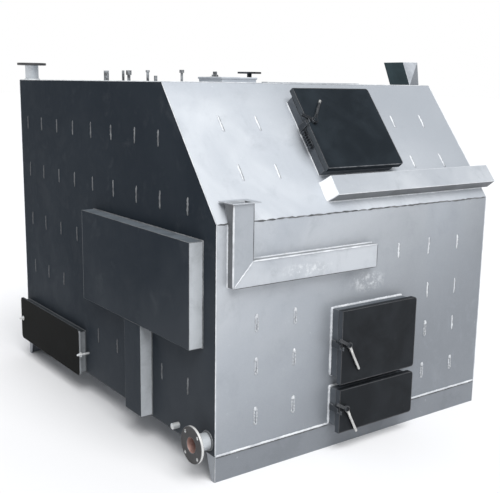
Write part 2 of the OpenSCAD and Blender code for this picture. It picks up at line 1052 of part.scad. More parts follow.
module top_hatch() {
    inner = top_hatch_w - 2 * top_hatch_lap;
    color("silver")
        placed()
            translate([top_hatch_x, top_hatch_y, body_height])
                union() {
                    linear_extrude(top_hatch_h)
                        difference() {
                            square(inner, center = true);
                            square(inner - 2 * top_hatch_bar, center = true);
                        }
                    translate([-top_hatch_w / 2, -top_hatch_w / 2, top_hatch_h])
                        cube([top_hatch_w, top_hatch_w, top_hatch_t]);
                }
}

// A flanged pipe that passes through a plate below z = 0
module flanged_pipe(reach) {
    difference() {
        union() {
            translate([0, 0, -plate])
                cylinder(d = pipe_od, h = plate + reach);
            translate([0, 0, reach - flange_t])
                cylinder(d = flange_od, h = flange_t);
        }
        translate([0, 0, -plate - eps])
            cylinder(d = pipe_id, h = plate + reach + 2 * eps);
        for (i = [0:flange_holes - 1])
            rotate([0, 0, (i + 0.5) * 360 / flange_holes])
                translate([flange_pcd / 2, 0, reach - flange_t - eps])
                    cylinder(d = flange_hole, h = flange_t + 2 * eps);
    }
}

module return_flange() {
    color("dimgray")
        placed()
            translate([0, return_y, return_z])
                rotate([0, -90, 0])
                    flanged_pipe(return_out);
}

module supply_flange() {
    color("dimgray")
        placed()
            translate([supply_x, body_depth - supply_y, body_height])
                flanged_pipe(supply_up);
}

module nipple(pipe_d, length, cap_d, cap_h) {
    union() {
        cylinder(d = pipe_d, h = length);
        if (cap_h > 0)
            translate([0, 0, length - cap_h])
                cylinder(d = cap_d, h = cap_h);
    }
}

module pipe_nipples() {
    color("dimgray")
        placed() {
            translate([0, drain_y, drain_z])
                rotate([0, -90, 0])
                    cylinder(d = drain_od, h = drain_len);
            for (p = nipples)
                translate([nipple_x, p[0], body_height])
                    nipple(p[1], p[2], p[3], p[4]);
        }
}

module top_disc() {
    color("dimgray")
        placed()
            translate([disc_x, disc_y, body_height])
                union() {
                    cylinder(d = disc_stem, h = disc_up);
                    translate([0, 0, disc_up - disc_t])
                        cylinder(d = disc_od, h = disc_t);
                }
}

module top_strip() {
    color("silver")
        placed()
            translate([strip_x, slope_run + strip_back, body_height])
                cube([strip_len, strip_w, strip_t]);
}

module stub_side(lean, inset) {
    polygon([[inset, 0], [stub_d - inset, 0], [stub_d - inset + lean, stub_h],
        [inset + lean, stub_h]]);
}

// A leaning four-sided body whose front and rear faces are folded along a diagonal
module stub_body(x, w, inset, rise) {
    hull() {
        across(x, x + eps)
            translate([slope_run + stub_back, body_height + rise])
                stub_side(stub_lean, inset);
        across(x + w - eps, x + w)
            translate([slope_run + stub_back, body_height + rise])
                stub_side(stub_lean_right, inset);
    }
}

module air_stub() {
    x0 = body_width - stub_in - stub_w;
    color("silver")
        difference() {
            stub_body(x0, stub_w, 0, 0);
            stub_body(x0 + duct_sheet, stub_w - 2 * duct_sheet, duct_sheet, 0);
        }
}

module flue_collar() {
    color("silver")
        placed()
            translate([body_width / 2, body_depth - plate, flue_z])
                rotate([-90, 0, 0])
                    linear_extrude(plate + flue_len)
                        difference() {
                            circle(d = flue_od, $fn = 96);
                            circle(d = flue_od - 2 * flue_wall, $fn = 96);
                        }
}

base_skirts();
skid_beams();
base_gussets();
floor_plate();
left_wall();
right_wall();
rear_wall();
top_plate();
front_wall_left();
front_wall_right();
front_wall_bands();
slope_left();
slope_right();
slope_bands();
furnace_sides();
furnace_front_sides();
furnace_front_bands();
furnace_crown();
fire_bridge();
grate();
fire_frame();
fire_door();
fire_lining();
fire_latch();
fire_grip();
ash_frame();
ash_door();
ash_latch();
ash_grip();
load_frame();
load_door();
load_lining();
load_latch();
load_grip();
door_ears();
latch_keepers();
front_air_duct();
slope_air_duct();
side_air_box();
side_air_duct();
hatch_frame();
hatch_cover();
return_flange();
supply_flange();
pipe_nipples();
top_hatch();
top_disc();
top_strip();
air_stub();
flue_collar();
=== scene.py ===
import json
import math
import random

import bmesh
import bpy
from mathutils import Matrix, Vector


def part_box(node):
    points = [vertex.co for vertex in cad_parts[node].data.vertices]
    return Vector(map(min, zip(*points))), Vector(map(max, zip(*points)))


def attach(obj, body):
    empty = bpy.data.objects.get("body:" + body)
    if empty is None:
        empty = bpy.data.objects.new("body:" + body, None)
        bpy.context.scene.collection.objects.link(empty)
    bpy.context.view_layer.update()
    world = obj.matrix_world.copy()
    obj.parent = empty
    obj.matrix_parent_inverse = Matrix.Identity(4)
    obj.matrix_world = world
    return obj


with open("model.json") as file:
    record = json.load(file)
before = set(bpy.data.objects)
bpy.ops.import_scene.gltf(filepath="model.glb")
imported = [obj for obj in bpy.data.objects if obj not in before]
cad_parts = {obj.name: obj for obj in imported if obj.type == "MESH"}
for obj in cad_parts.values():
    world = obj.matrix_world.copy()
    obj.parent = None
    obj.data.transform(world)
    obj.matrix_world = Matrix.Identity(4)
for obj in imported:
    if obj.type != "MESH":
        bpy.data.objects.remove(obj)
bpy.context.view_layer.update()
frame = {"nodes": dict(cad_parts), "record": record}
nodes = frame["nodes"]
scene = bpy.context.scene
print("frame loaded:", len(nodes), "nodes")

# The shell gives the places of everything else: x from the left wall, y from the front, z up.
wallLow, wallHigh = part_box("left_wall")
corner = Vector((wallLow.x, wallLow.y, 0.0))
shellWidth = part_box("right_wall")[1].x - wallLow.x
shellDepth = wallHigh.y - wallLow.y
shellTop = wallHigh.z
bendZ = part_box("front_wall_left")[1].z
floorZ = wallLow.z
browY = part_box("top_plate")[0].y - wallLow.y
slopeUp = Vector((0.0, browY, shellTop - bendZ)).normalized()
slopeOut = Vector((0.0, -slopeUp.z, slopeUp.y))
slopeLength = math.hypot(browY, shellTop - bendZ)
leftward = Vector((-1.0, 0.0, 0.0))
rightward = -leftward
forward = Vector((0.0, -1.0, 0.0))
backward = -forward
upward = Vector((0.0, 0.0, 1.0))


def at(x, y, z):
    return corner + Vector((x, y, z))


def onSlope(x, s, out=0.0):
    return at(x, 0.0, bendZ) + slopeUp * s + slopeOut * out


def sidesOf(node):
    # the left and the right end of a node, from the left wall
    low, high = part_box(node)
    return low.x - corner.x, high.x - corner.x


def middleOf(node):
    low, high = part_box(node)
    return 0.5 * (low + high)


def between(first, second, share=1.0):
    return (first + second * share).normalized()


def scaled(tone, share):
    return tuple(share * v for v in tone)


# Finishes. Each is a coat with its clouds, and a colour that every layer goes over.
def newFinish(name):
    finish = bpy.data.materials.new(name)
    finish.use_nodes = True
    return finish, finish.node_tree, finish.node_tree.nodes["Principled BSDF"]


def feed(tree, socket, value):
    # a socket is linked, anything else is set as a constant
    if isinstance(value, bpy.types.NodeSocket):
        tree.links.new(value, socket)
    else:
        socket.default_value = value


def addNode(tree, kind, inputs=None, **settings):
    node = tree.nodes.new("ShaderNode" + kind)
    for key, value in settings.items():
        setattr(node, key, value)
    for key, value in (inputs or {}).items():
        feed(tree, node.inputs[key], value)
    return node


# the ways a face can look; a tone given for one of them is painted light or painted shade on those faces
lightAndShadeSides = {
    "left": (-1, 0, 0), "front": (0, -1, 0), "top": (0, 0, 1), "under": (0, 0, -1),
    "range": (0.60, 0.76),  # how squarely a surface looks to a side, from none of its tone to all
}


class Coat:
    # settings hold the clouds (size, detail, roughness, twist, and a stretch in height), the first tone and
    # the layers over it (cloud, range, tone); a range says where a cloud starts to show and where it shows
    # in full, then how much of it shows there; a move of the clouds leaves the stretched ones in place
    def __init__(self, name, settings, move=(0, 0, 0)):
        self.finish, self.tree, self.shader = newFinish(name)
        self.settings = settings
        self.origin = self.objectPlace()
        self.place = self.objectPlace(move)
        self.clouds = {key: self.cloud(*shape) for key, shape in settings["clouds"].items()}
        self.colour = settings["base"]
        for key, reach, tone in settings["layers"]:
            self.over(self.spread(self.clouds[key], *reach), tone)

    def objectPlace(self, move=(0, 0, 0), stretch=1.0):
        coords = addNode(self.tree, "TexCoord")
        inputs = {"Vector": coords.outputs["Object"], "Location": move, "Scale": (1.0, 1.0, stretch)}
        return addNode(self.tree, "Mapping", inputs).outputs["Vector"]

    def cloud(self, size, detail, rough, twist=0.0, stretch=None):
        place = self.objectPlace(stretch=stretch) if stretch else self.place
        shape = {"Scale": 1.0 / size, "Detail": detail, "Roughness": rough, "Distortion": twist}
        return addNode(self.tree, "TexNoise", {"Vector": place, **shape}).outputs["Fac"]

    def spread(self, value, low, high, toLow=0.0, toHigh=1.0, soft=True):
        inputs = {"Value": value, "From Min": low, "From Max": high, "To Min": toLow, "To Max": toHigh}
        curve = "SMOOTHSTEP" if soft else "LINEAR"
        node = addNode(self.tree, "MapRange", inputs, interpolation_type=curve, clamp=True)
        return node.outputs["Result"]

    def blend(self, share, first, second, mode="MIX"):
        node = addNode(self.tree, "Mix", {0: share}, data_type="RGBA", blend_type=mode)
        for key, tone in ((6, first), (7, second)):  # the two colour sockets of the mix
            feed(self.tree, node.inputs[key], (*tone, 1.0) if isinstance(tone, tuple) else tone)
        return node.outputs[2]

    def over(self, share, tone, mode="MIX"):
        self.colour = self.blend(share, self.colour, tone, mode)

    def maths(self, operation, first, second=0.0):
        return addNode(self.tree, "Math", {0: first, 1: second}, operation=operation).outputs[0]

    def vectors(self, operation, first, second=(0.0, 0.0, 0.0)):
        node = addNode(self.tree, "VectorMath", {0: first, 1: second}, operation=operation)
        return node.outputs["Value" if operation in ("DOT_PRODUCT", "LENGTH", "DISTANCE") else "Vector"]

    def height(self):
        return addNode(self.tree, "SeparateXYZ", {0: self.origin}).outputs["Z"]

    def facing(self, way):
        # how squarely the surface looks along one axis of the part
        return self.vectors("DOT_PRODUCT", addNode(self.tree, "TexCoord").outputs["Normal"], way)

    def side(self, name):
        # how much of a side's painted light or painted shade this face takes
        return self.spread(self.facing(lightAndShadeSides[name]), *lightAndShadeSides["range"])

    def spot(self, middle, reach):
        # 0 at the middle of a spot, 1 at its rim
        away = self.vectors("SUBTRACT", self.origin, middle)
        return self.vectors("LENGTH", self.vectors("MULTIPLY", away, tuple(1.0 / v for v in reach)))

    def dry(self, metallic=None, gloss=0.5):
        # sets the shader, with dents from the broad to the fine, and hands the material back
        s = self.settings
        key, *reach = s["rough"]
        if metallic is None:
            metallic = s.get("metallic", 0.0)
        values = {
            "Base Color": self.colour, "Roughness": self.spread(self.clouds[key], *reach),
            "Metallic": metallic, "Specular IOR Level": gloss,
        }
        for key, value in values.items():
            feed(self.tree, self.shader.inputs[key], value)
        normal = self.shader.inputs["Normal"]
        for key, depth in reversed(s["dents"].items()):
            inputs = {"Height": self.clouds[key], "Distance": depth, "Strength": 1.0}
            bump = addNode(self.tree, "Bump", inputs)
            self.tree.links.new(bump.outputs["Normal"], normal)
            normal = bump.inputs["Normal"]
        return self.finish


shellTones = {  # first coat, second coat and thin places
    "silver": ((0.335, 0.358, 0.39), (0.43, 0.452, 0.48), (0.235, 0.254, 0.28)),
    # graphite: the deep shade of the left side, painted into the silver as dark tones
    "graphite": ((0.0165, 0.0222, 0.0300), (0.0205, 0.0268, 0.0350), (0.052, 0.058, 0.066)),
}
shellPaint = {
    "clouds": {
        "coats": (0.75, 4.0, 0.55, 0.6), "patches": (0.16, 6.0, 0.62, 0.4), "scuffs": (0.022, 5.0, 0.7),
        "streaks": (0.045, 4.0, 0.6, 0.0, 0.22), "grain": (0.0035, 3.0, 0.7),
    },
    "rubbed": (0.74, 0.76, 0.78), "wornTone": 0.72, "shadowTone": 0.5, "streakShare": 0.5, "topShadeEdge": 0.02,
    "coatRange": (0.36, 0.64), "swayRange": (0.3, 0.7, -0.5, 0.5), "grainRange": (0.35, 0.65, 0.0, 0.10),
    "darkPatches": (0.50, 0.80, 0.0, 0.6), "patchRange": (0.50, 0.76), "streakRange": (0.56, 0.80),
    "rubRange": (0.60, 0.72), "rubPatches": (0.30, 0.42, 0.45, 0.0), "wornRange": (0.40, 0.75),
    "shadowRange": (1.0, 0.1, 0.0, 0.62), "scuffSpot": (1.0, 0.2), "scuffRange": (0.47, 0.62, 0.0, 0.6),
    "metallic": 0.42, "satinMetallic": 0.1, "gloss": 0.45, "darkGloss": 0.02,
    "plainRough": ("patches", 0.30, 0.75, 0.38, 0.58), "satinRough": ("patches", 0.30, 0.75, 0.55, 0.70),
    "dents": {"coats": 0.006, "patches": 0.0012, "grain": 0.00018},
}


def paintedShell(name, sides=None, dark=False, dull=0.0, pale=1.0, fade=None, clouds=0.55, shift=0.0,
                 scuffAt=None, satin=False, shadowSpotAt=None, topShadeBelow=None):
    # aluminium paint, rolled on in cloudy coats; dark swaps in the graphite tones, the deep shade of the
    # left side painted in; sides gives painted light and shade, a tone for the faces that look one way;
    # fade the way along which the coat turns to its thin tone; scuffAt the middle and the reach of a
    # scuffed spot; satin the coat that shows less of the metal flake; the next two give the middle and
    # the reach of a painted shadow beside the loading frame, and the height above which the top faces
    # lose their painted shade
    s = shellPaint
    first, second, thin = (scaled(tone, pale) for tone in shellTones["graphite" if dark else "silver"])
    layers = [("coats", s["coatRange"], second)]
    settings = dict(s, base=first, layers=layers, rough=s["satinRough" if satin else "plainRough"])
    coat = Coat(name, settings, (shift, 0.0, 0.0))
    patches, scuffs = coat.clouds["patches"], coat.clouds["scuffs"]
    if fade:
        sway = coat.spread(coat.clouds["coats"], *s["swayRange"], False)
        run = coat.vectors("DOT_PRODUCT", coat.origin, fade["way"])
        run = coat.maths("ADD", run, coat.maths("MULTIPLY", sway, fade["uneven"]))
        share = coat.spread(run, fade["from"], fade["to"], 0.0, fade["share"])
        coat.over(share, scaled(thin, fade["tone"]))
    if dark:
        coat.over(coat.spread(patches, *s["darkPatches"]), thin)
    else:
        coat.over(coat.spread(patches, *s["patchRange"], dull, dull + clouds), thin)
        share = coat.spread(coat.clouds["streaks"], *s["streakRange"], 0.0, s["streakShare"] * clouds)
        coat.over(share, thin)
        rubbed = coat.spread(patches, *s["rubPatches"])
        coat.over(coat.maths("MULTIPLY", coat.spread(scuffs, *s["rubRange"]), rubbed), s["rubbed"])
    # a painted shadow on the slope beside the loading frame, darkest at its middle
    if shadowSpotAt:
        tone = scaled(shellTones["silver"][-1], s["shadowTone"])
        coat.over(coat.spread(coat.spot(*shadowSpotAt), *s["shadowRange"]), tone)
    if scuffAt:
        spot = coat.spread(coat.spot(*scuffAt), *s["scuffSpot"])
        coat.over(coat.maths("MULTIPLY", spot, coat.spread(scuffs, *s["scuffRange"])), s["rubbed"])
    # painted light and shade: a side's tone, varied in patches, goes over the faces that look that way
    for side, tone in (sides or {}).items():
        share = coat.side(side)
        if topShadeBelow and side == "top":
            below = coat.spread(coat.height(), topShadeBelow, topShadeBelow - s["topShadeEdge"])
            share = coat.maths("MULTIPLY", share, below)
        coat.over(share, coat.blend(coat.spread(patches, *s["wornRange"]), tone, scaled(tone, s["wornTone"])))
    coat.over(coat.spread(coat.clouds["grain"], *s["grainRange"]), (1.0, 1.0, 1.0), "SOFT_LIGHT")
    if dark:
        return coat.dry(0.0, s["darkGloss"])
    return coat.dry(s["satinMetallic" if satin else "metallic"], s["gloss"])


weldTones = {  # dull and bright
    "weldBright": ((0.48, 0.50, 0.53), (0.70, 0.72, 0.74)),
    # the left side's welds, in the tones of painted shade
    "shadedWeld": ((0.085, 0.09, 0.095), (0.25, 0.26, 0.27)),
    "weldSoft": ((0.30, 0.315, 0.335), (0.60, 0.62, 0.645)),
    # dark lines of painted shadow under the bend's lapped edge, the front's lower weld and the duct's edges
    "edgeShadowLine": ((0.035, 0.037, 0.04), (0.16, 0.165, 0.17)),
    # dark lines of painted shadow beside the stay welds
    "beadShadowLine": ((0.13, 0.137, 0.146), (0.24, 0.25, 0.265)),
    # pale lines of painted highlight along the edges of black parts
    "blackEdge": ((0.060, 0.063, 0.068), (0.17, 0.178, 0.19)),
    # faint pale lines of painted highlight round the doors' faces
    "faintEdgeHighlight": ((0.022, 0.023, 0.025), (0.048, 0.050, 0.055)),
}
weldPaint = {
    "blotch": (5.0, 0.6), "grain": (0.002, 2.0, 0.6), "blend": 0.36, "metallic": 0.15,
    "rough": ("blotch", 0.3, 0.7, 0.30, 0.48), "dents": {"blotch": 0.002, "grain": 0.0002},
}


def paintedWeld(name, size=0.06, patchy=0.30, fade=None):
    # weld metal under a thin coat of paint, patchy where more of it is covered; in other tones the same
    # finish makes painted highlights along edges and painted shadow lines
    s = weldPaint
    dull, bright = weldTones[name]
    clouds = {"blotch": (size, *s["blotch"]), "grain": s["grain"]}
    layers = [("blotch", (patchy, patchy + s["blend"]), bright)]
    coat = Coat(name, dict(s, clouds=clouds, base=dull, layers=layers))
    if fade:
        run = coat.vectors("DOT_PRODUCT", coat.origin, fade["way"])
        coat.over(coat.spread(run, fade["from"], fade["to"], 0.0, fade["share"], False), fade["tone"])
    return coat.dry()


# the sides of each coat are painted light: paler tones for the faces that look left, forward or up
blackTones = {
    "heatProofBlack": {
        "black": (0.0108, 0.0124, 0.0146), "dust": (0.0195, 0.0222, 0.0256), "scuff": (0.075, 0.079, 0.085),
        "sides": {"left": (0.070, 0.078, 0.089)},
    },
    "loadCoat": {
        "black": (0.0092, 0.0130, 0.0170), "dust": (0.0170, 0.0230, 0.0290), "scuff": (0.070, 0.079, 0.088),
        "sides": {"left": (0.074, 0.083, 0.092)},
    },
    "frameCoat": {
        "black": (0.086, 0.096, 0.110), "dust": (0.138, 0.151, 0.167), "scuff": (0.26, 0.267, 0.275),
        "sides": {},
    },
    "keeperCoat": {
        "black": (0.032, 0.036, 0.042), "dust": (0.060, 0.066, 0.074), "scuff": (0.20, 0.205, 0.21),
        "sides": {"left": (0.052, 0.058, 0.066)},
    },
    "coverCoat": {
        "black": (0.0085, 0.0088, 0.0086), "dust": (0.0155, 0.0158, 0.0152), "scuff": (0.05, 0.05, 0.05),
        "sides": {"front": (0.30, 0.315, 0.33), "top": (0.05, 0.055, 0.06)}, "gloss": 0.01,
    },
}
blackPaint = {
    "clouds": {
        "haze": (0.22, 5.0, 0.6, 0.5), "scuffs": (0.02, 6.0, 0.7, 0.0, 0.35), "grain": (0.0022, 2.0, 0.6),
    },
    "dustRange": (0.35, 0.72), "scuffRange": (0.66, 0.82, 0.0, 0.5), "gloss": 0.08,
    "rough": ("haze", 0.3, 0.7, 0.40, 0.58), "dents": {"haze": 0.002, "grain": 0.00022},
}


def heatProofBlack(name):
    # black stove paint under dust and scuffs; sides gives painted light on the faces that look one way
    s, tones = blackPaint, blackTones[name]
    layers = [("haze", s["dustRange"], tones["dust"]), ("scuffs", s["scuffRange"], tones["scuff"])]
    coat = Coat(name, dict(s, base=tones["black"], layers=layers))
    for side, tone in tones["sides"].items():
        coat.over(coat.side(side), tone)
    return coat.dry(gloss=tones.get("gloss", s["gloss"]))


insidePaints = {
    "sootedPlate": {
        "clouds": {"broad": (0.35, 6.0, 0.6, 0.8), "flecks": (0.03, 7.0, 0.7)},
        "base": (0.085, 0.066, 0.055),
        "layers": [
            ("broad", (0.38, 0.62), (0.018, 0.016, 0.015)),
            ("flecks", (0.52, 0.72, 0.0, 0.8), (0.20, 0.082, 0.034)),
        ],
        "rough": ("flecks", 0.3, 0.7, 0.62, 0.92), "dents": {"broad": 0.004, "flecks": 0.0012},
    },
    "castGrate": {
        "clouds": {"flecks": (0.025, 6.0, 0.65), "grain": (0.003, 3.0, 0.6)},
        "base": (0.045, 0.045, 0.047), "metallic": 0.5,
        "layers": [("flecks", (0.45, 0.7), (0.15, 0.085, 0.05))],
        "rough": ("flecks", 0.3, 0.7, 0.5, 0.85), "dents": {"flecks": 0.0015, "grain": 0.0005},
    },
    "liningBoard": {
        "clouds": {"stain": (0.14, 5.0, 0.6, 0.6), "fibre": (0.006, 4.0, 0.65, 0.0, 0.3)},
        "base": (0.46, 0.42, 0.36),
        "layers": [
            ("stain", (0.42, 0.72), (0.20, 0.17, 0.14)),
            ("fibre", (0.4, 0.7, 0.0, 0.35), (0.58, 0.55, 0.49)),
        ],
        "rough": ("fibre", 0.3, 0.7, 0.82, 0.96), "dents": {"stain": 0.0015, "fibre": 0.0006},
    },
}


def insideFinish(name):
    return Coat(name, insidePaints[name]).dry()


steelPaint = {
    "clouds": {"rub": (0.02, 5.0, 0.65), "scratch": (0.0025, 3.0, 0.6, 0.0, 0.12)},
    "base": (0.60, 0.60, 0.585), "layers": [("rub", (0.45, 0.75), (0.33, 0.325, 0.31))], "metallic": 0.9,
    "scuffRange": (0.52, 0.70), "tipEdge": 0.012,
    "rough": ("scratch", 0.3, 0.7, 0.22, 0.42), "dents": {"rub": 0.0006, "scratch": 0.0001},
}


def bareSteel(name, tip=None, reach=0.014):
    # rubbed bright by hands; a tip is given where only the end of a painted bar is bare
    s, paint = steelPaint, blackTones["heatProofBlack"]
    coat = Coat(name, s)
    metallic = s["metallic"]
    if tip:
        away = coat.vectors("DISTANCE", coat.origin, tip)
        painted = coat.blend(coat.spread(coat.clouds["rub"], *s["scuffRange"]), paint["dust"], paint["scuff"])
        coat.over(coat.spread(away, reach, reach + s["tipEdge"]), painted)
        metallic = coat.spread(away, reach, reach + s["tipEdge"], s["metallic"], 0.0)
    return coat.dry(metallic)


connection = {"pipe": 0.0445, "bore": 0.041, "rim": 0.0975}  # radii of the return and the supply
fittingTones = {
    "dark": (0.030, 0.029, 0.030), "worn": (0.060, 0.059, 0.060), "pipe": (0.58, 0.61, 0.635),
    "rust": (0.40, 0.255, 0.225), "zinc": (0.27, 0.28, 0.29), "hole": (0.80, 0.80, 0.79),
    "bright": (0.62, 0.62, 0.61),
}
flangePaint = {
    "clouds": {"patches": (0.035, 6.0, 0.65), "grain": (0.0025, 3.0, 0.6)},
    "base": fittingTones["dark"], "layers": [("patches", (0.42, 0.75), fittingTones["worn"])],
    "metallic": 0.4, "turnedRange": (0.35, 0.65, 1.0, 0.0),
    "zones": (  # a radius, where the tone starts and is full beside it, and the tone
        ("pipe", 0.006, 0.010, "hole"), ("rim", -0.004, -0.001, "rim"),
        ("pipe", 0.006, 0.002, "pipe"), ("bore", 0.0015, 0.0005, "rust"),
    ),
    "rough": ("patches", 0.3, 0.7, 0.38, 0.62), "dents": {"patches": 0.001, "grain": 0.00025},
}
fittingPaint = {
    "clouds": {"patches": (0.03, 6.0, 0.65), "grain": (0.0025, 3.0, 0.6)},
    "base": fittingTones["worn"], "metallic": 0.5,
    "layers": [
        ("patches", (0.34, 0.52), fittingTones["zinc"]),
        ("patches", (0.50, 0.70, 0.0, 0.8), fittingTones["pipe"]),
    ],
    "freshRange": (0.35, 0.65), "freshBelow": (0.6, 0.5),
    "rough": ("patches", 0.3, 0.7, 0.36, 0.6), "dents": {"patches": 0.001, "grain": 0.00025},
}


def flangeFinish(name, node, axis, rimTone):
    # dark face, turned rim and holes, painted pipe and a rusty bore, told apart by the distance from the axis
    s, tones = flangePaint, dict(fittingTones, rim=fittingTones[rimTone])
    coat = Coat(name, s, tuple(-v for v in middleOf(node)))
    flat = coat.vectors("MULTIPLY", coat.place, tuple(1.0 - abs(v) for v in axis))
    radius = coat.vectors("LENGTH", flat)
    side = coat.spread(coat.maths("ABSOLUTE", coat.facing(axis)), *s["turnedRange"])
    for edge, start, full, tone in s["zones"]:
        share = coat.spread(radius, connection[edge] + start, connection[edge] + full)
        coat.over(coat.maths("MULTIPLY", share, side), tones[tone])
    return coat.dry()


def wornFitting(name):
    s, tones = fittingPaint, fittingTones
    coat = Coat(name, s)
    fresh = coat.blend(coat.spread(coat.clouds["patches"], *s["freshRange"]), tones["pipe"], tones["bright"])
    coat.over(coat.spread(coat.height(), *s["freshBelow"]), fresh)  # those near the floor kept their zinc
    return coat.dry()


shadowUp = 0.42  # height up the slope of the painted shadow beside the loading door's frame
shadowAt = tuple(onSlope(sidesOf("load_frame")[0], shadowUp))
fades = {
    "foot": {"way": (0.0, -0.25, -1.0), "uneven": 0.5, "from": -1.1, "to": 0.3, "share": 0.9, "tone": 1.0},
    "front": {"way": (0.3, 0.0, -0.55), "uneven": 0.25, "from": -1.04, "to": 0.0, "share": 1.0, "tone": 0.70},
    "slope": {"way": (0.3, 0.0, 0.6), "uneven": 0.12, "from": 0.8, "to": 1.32, "share": 0.85, "tone": 0.95},
    "leg": {"way": (-0.731, 0, 0.682), "uneven": 0.0, "from": 1.353, "to": 1.361, "share": 0.62, "tone": 1.0},
    "welds": {"way": (0.0, 1.0, -0.9), "from": -2.2, "to": -0.3, "share": 0.9, "tone": (0.050, 0.055, 0.061)},
}
# the sides in these coats are painted light and painted shade on the faces that look that way
shellCoats = {
    "silverShell": dict(clouds=0.28),
    # the left side: painted shade, with painted light on the faces that look forward and up
    "shadedLeftShell": dict(dark=True, fade=fades["foot"],
                          sides={"front": (0.44, 0.465, 0.49), "top": (0.130, 0.150, 0.170)}),
    "frontCoat": dict(pale=1.25, fade=fades["front"], clouds=0.5,
                      scuffAt=((0.04, -1.241, 0.925), (0.17, 0.1, 0.075))),
    "slopeCoat": dict(pale=1.24, fade=fades["slope"], clouds=0.42, shift=4.3, satin=True,
                      shadowSpotAt=(shadowAt, (0.12, 0.17, 0.20))),
    "hatchCoat": dict(pale=1.55),
    "frontDuctCoat": dict(
        sides={"left": (0.16, 0.166, 0.175), "under": (0.10, 0.105, 0.11), "top": (0.29, 0.302, 0.318)},
        pale=1.2, fade=fades["leg"], topShadeBelow=1.25, scuffAt=((-0.44, -1.291, 1.062), (0.24, 0.1, 0.05)),
    ),
    "slopeDuctCoat": dict(pale=1.02, satin=True,
                          sides={"left": (0.93, 0.94, 0.94), "under": (0.15, 0.158, 0.168)}),
    "stubCoat": dict(sides={"left": (0.047, 0.076, 0.086)}, pale=0.68),
    "skirtEndShadeCoat": dict(sides={"left": (0.045, 0.048, 0.053)}, dull=0.9, pale=0.8),
    "gussetCoat": dict(dull=0.5, pale=0.95),
    "floorCoat": dict(sides={"left": (0.022, 0.029, 0.037)}),
    "hatchFrameCoat": dict(dark=True, fade=fades["foot"],
                           sides={"front": (0.25, 0.265, 0.28), "top": (0.040, 0.046, 0.052)}),
}
coats = {name: paintedShell(name, **ways) for name, ways in shellCoats.items()}
coats.update({name: heatProofBlack(name) for name in blackTones})
weldBright = paintedWeld("weldBright")
# welds in painted shade for the left side, darker still towards the rear and the bottom
shadedWeld = paintedWeld("shadedWeld", fade=fades["welds"])
weldSoft = paintedWeld("weldSoft", 0.018, 0.33)
edgeShadowFinish = paintedWeld("edgeShadowLine")
beadShadowFinish = paintedWeld("beadShadowLine")
blackEdge = paintedWeld("blackEdge")
faintEdgeHighlight = paintedWeld("faintEdgeHighlight")
finishes = {
    "silver_paint": coats["silverShell"], "graphite_paint": coats["shadedLeftShell"],
    "black_paint": coats["heatProofBlack"], "furnace_plate": insideFinish("sootedPlate"),
    "grate_iron": insideFinish("castGrate"), "lining": insideFinish("liningBoard"),
    "bare_steel": bareSteel("bareSteel"), "fitting_paint": wornFitting("wornFitting"),
}
ownCoats = {
    "frontCoat": ("front_wall_left", "front_wall_right", "front_wall_bands"),
    "slopeCoat": ("slope_left", "slope_right", "slope_bands"), "frontDuctCoat": ("front_air_duct",),
    "slopeDuctCoat": ("slope_air_duct",), "stubCoat": ("air_stub",), "skirtEndShadeCoat": ("base_skirts",),
    "gussetCoat": ("base_gussets",), "floorCoat": ("floor_plate",), "hatchFrameCoat": ("hatch_frame",),
    "hatchCoat": ("top_hatch",), "frameCoat": ("fire_frame", "ash_frame", "load_frame"),
    "keeperCoat": ("latch_keepers",), "loadCoat": ("load_door",), "coverCoat": ("hatch_cover",),
    "heatProofBlack": ("top_disc",),
}
ownFinish = {node: coats[name] for name, names in ownCoats.items() for node in names}
ownFinish["return_flange"] = flangeFinish("returnFlange", "return_flange", (1, 0, 0), "bright")
ownFinish["supply_flange"] = flangeFinish("supplyFlange", "supply_flange", (0, 0, 1), "worn")
leverReach, tipInset = 0.02, 0.008
for door in ("fire", "ash"):  # these levers are bare where the hand slides up from the grip
    low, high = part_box(door + "_grip")
    ownFinish[door + "_latch"] = bareSteel(door + "Lever", (low.x, low.y, high.z), leverReach)
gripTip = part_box("load_grip")[1] - Vector((tipInset, tipInset, tipInset))
ownFinish["load_grip"] = bareSteel("paintedGrip", tuple(gripTip))
# the second finish goes on the rounded edges: paler than the part's own, a painted highlight along each edge
edgeFinish = {
    "silver_paint": weldBright, "graphite_paint": shadedWeld,
    "black_paint": blackEdge, "fitting_paint": shadedWeld,
}
for part in frame["record"]["subparts"]:
    node = nodes[part["node"]]
    node.data.materials.clear()
    node.data.materials.append(ownFinish.get(part["node"], finishes[part["material_slot"]]))
    if part["material_slot"] in edgeFinish:
        node.data.materials.append(edgeFinish[part["material_slot"]])
print("finishes set on", len(nodes), "nodes")

# Folded and sawn edges catch the light, so the loose pieces get a small round on theirs.
edgeRound = {"joinWithin": 0.00002, "segments": 2, "sharperThan": 40, "slot": 1}
edgeWidths = {
    0.0045: ("fire_door", "ash_door", "load_door"),
    0.004: ("slope_air_duct",),
    0.0035: ("front_air_duct",),
    0.003: ("side_air_box", "side_air_duct", "hatch_cover", "hatch_frame", "top_hatch"),
    0.002: (
        "fire_frame", "ash_frame", "load_frame", "top_strip",
        "return_flange", "supply_flange", "base_skirts",
    ),
    0.0015: ("air_stub", "latch_keepers", "fire_latch", "ash_latch", "load_latch"),
    0.001: ("door_ears",),
}
for width, names in edgeWidths.items():
    for name in names:
        weld = nodes[name].modifiers.new("joinFaces", "WELD")
        weld.merge_threshold = edgeRound["joinWithin"]
        bevel = nodes[name].modifiers.new("edgeRound", "BEVEL")
        bevel.width = width
        bevel.segments = edgeRound["segments"]
        bevel.limit_method = "ANGLE"
        bevel.angle_limit = math.radians(edgeRound["sharperThan"])
        # the round's faces take the second finish, the painted highlight
        bevel.material = edgeRound["slot"]


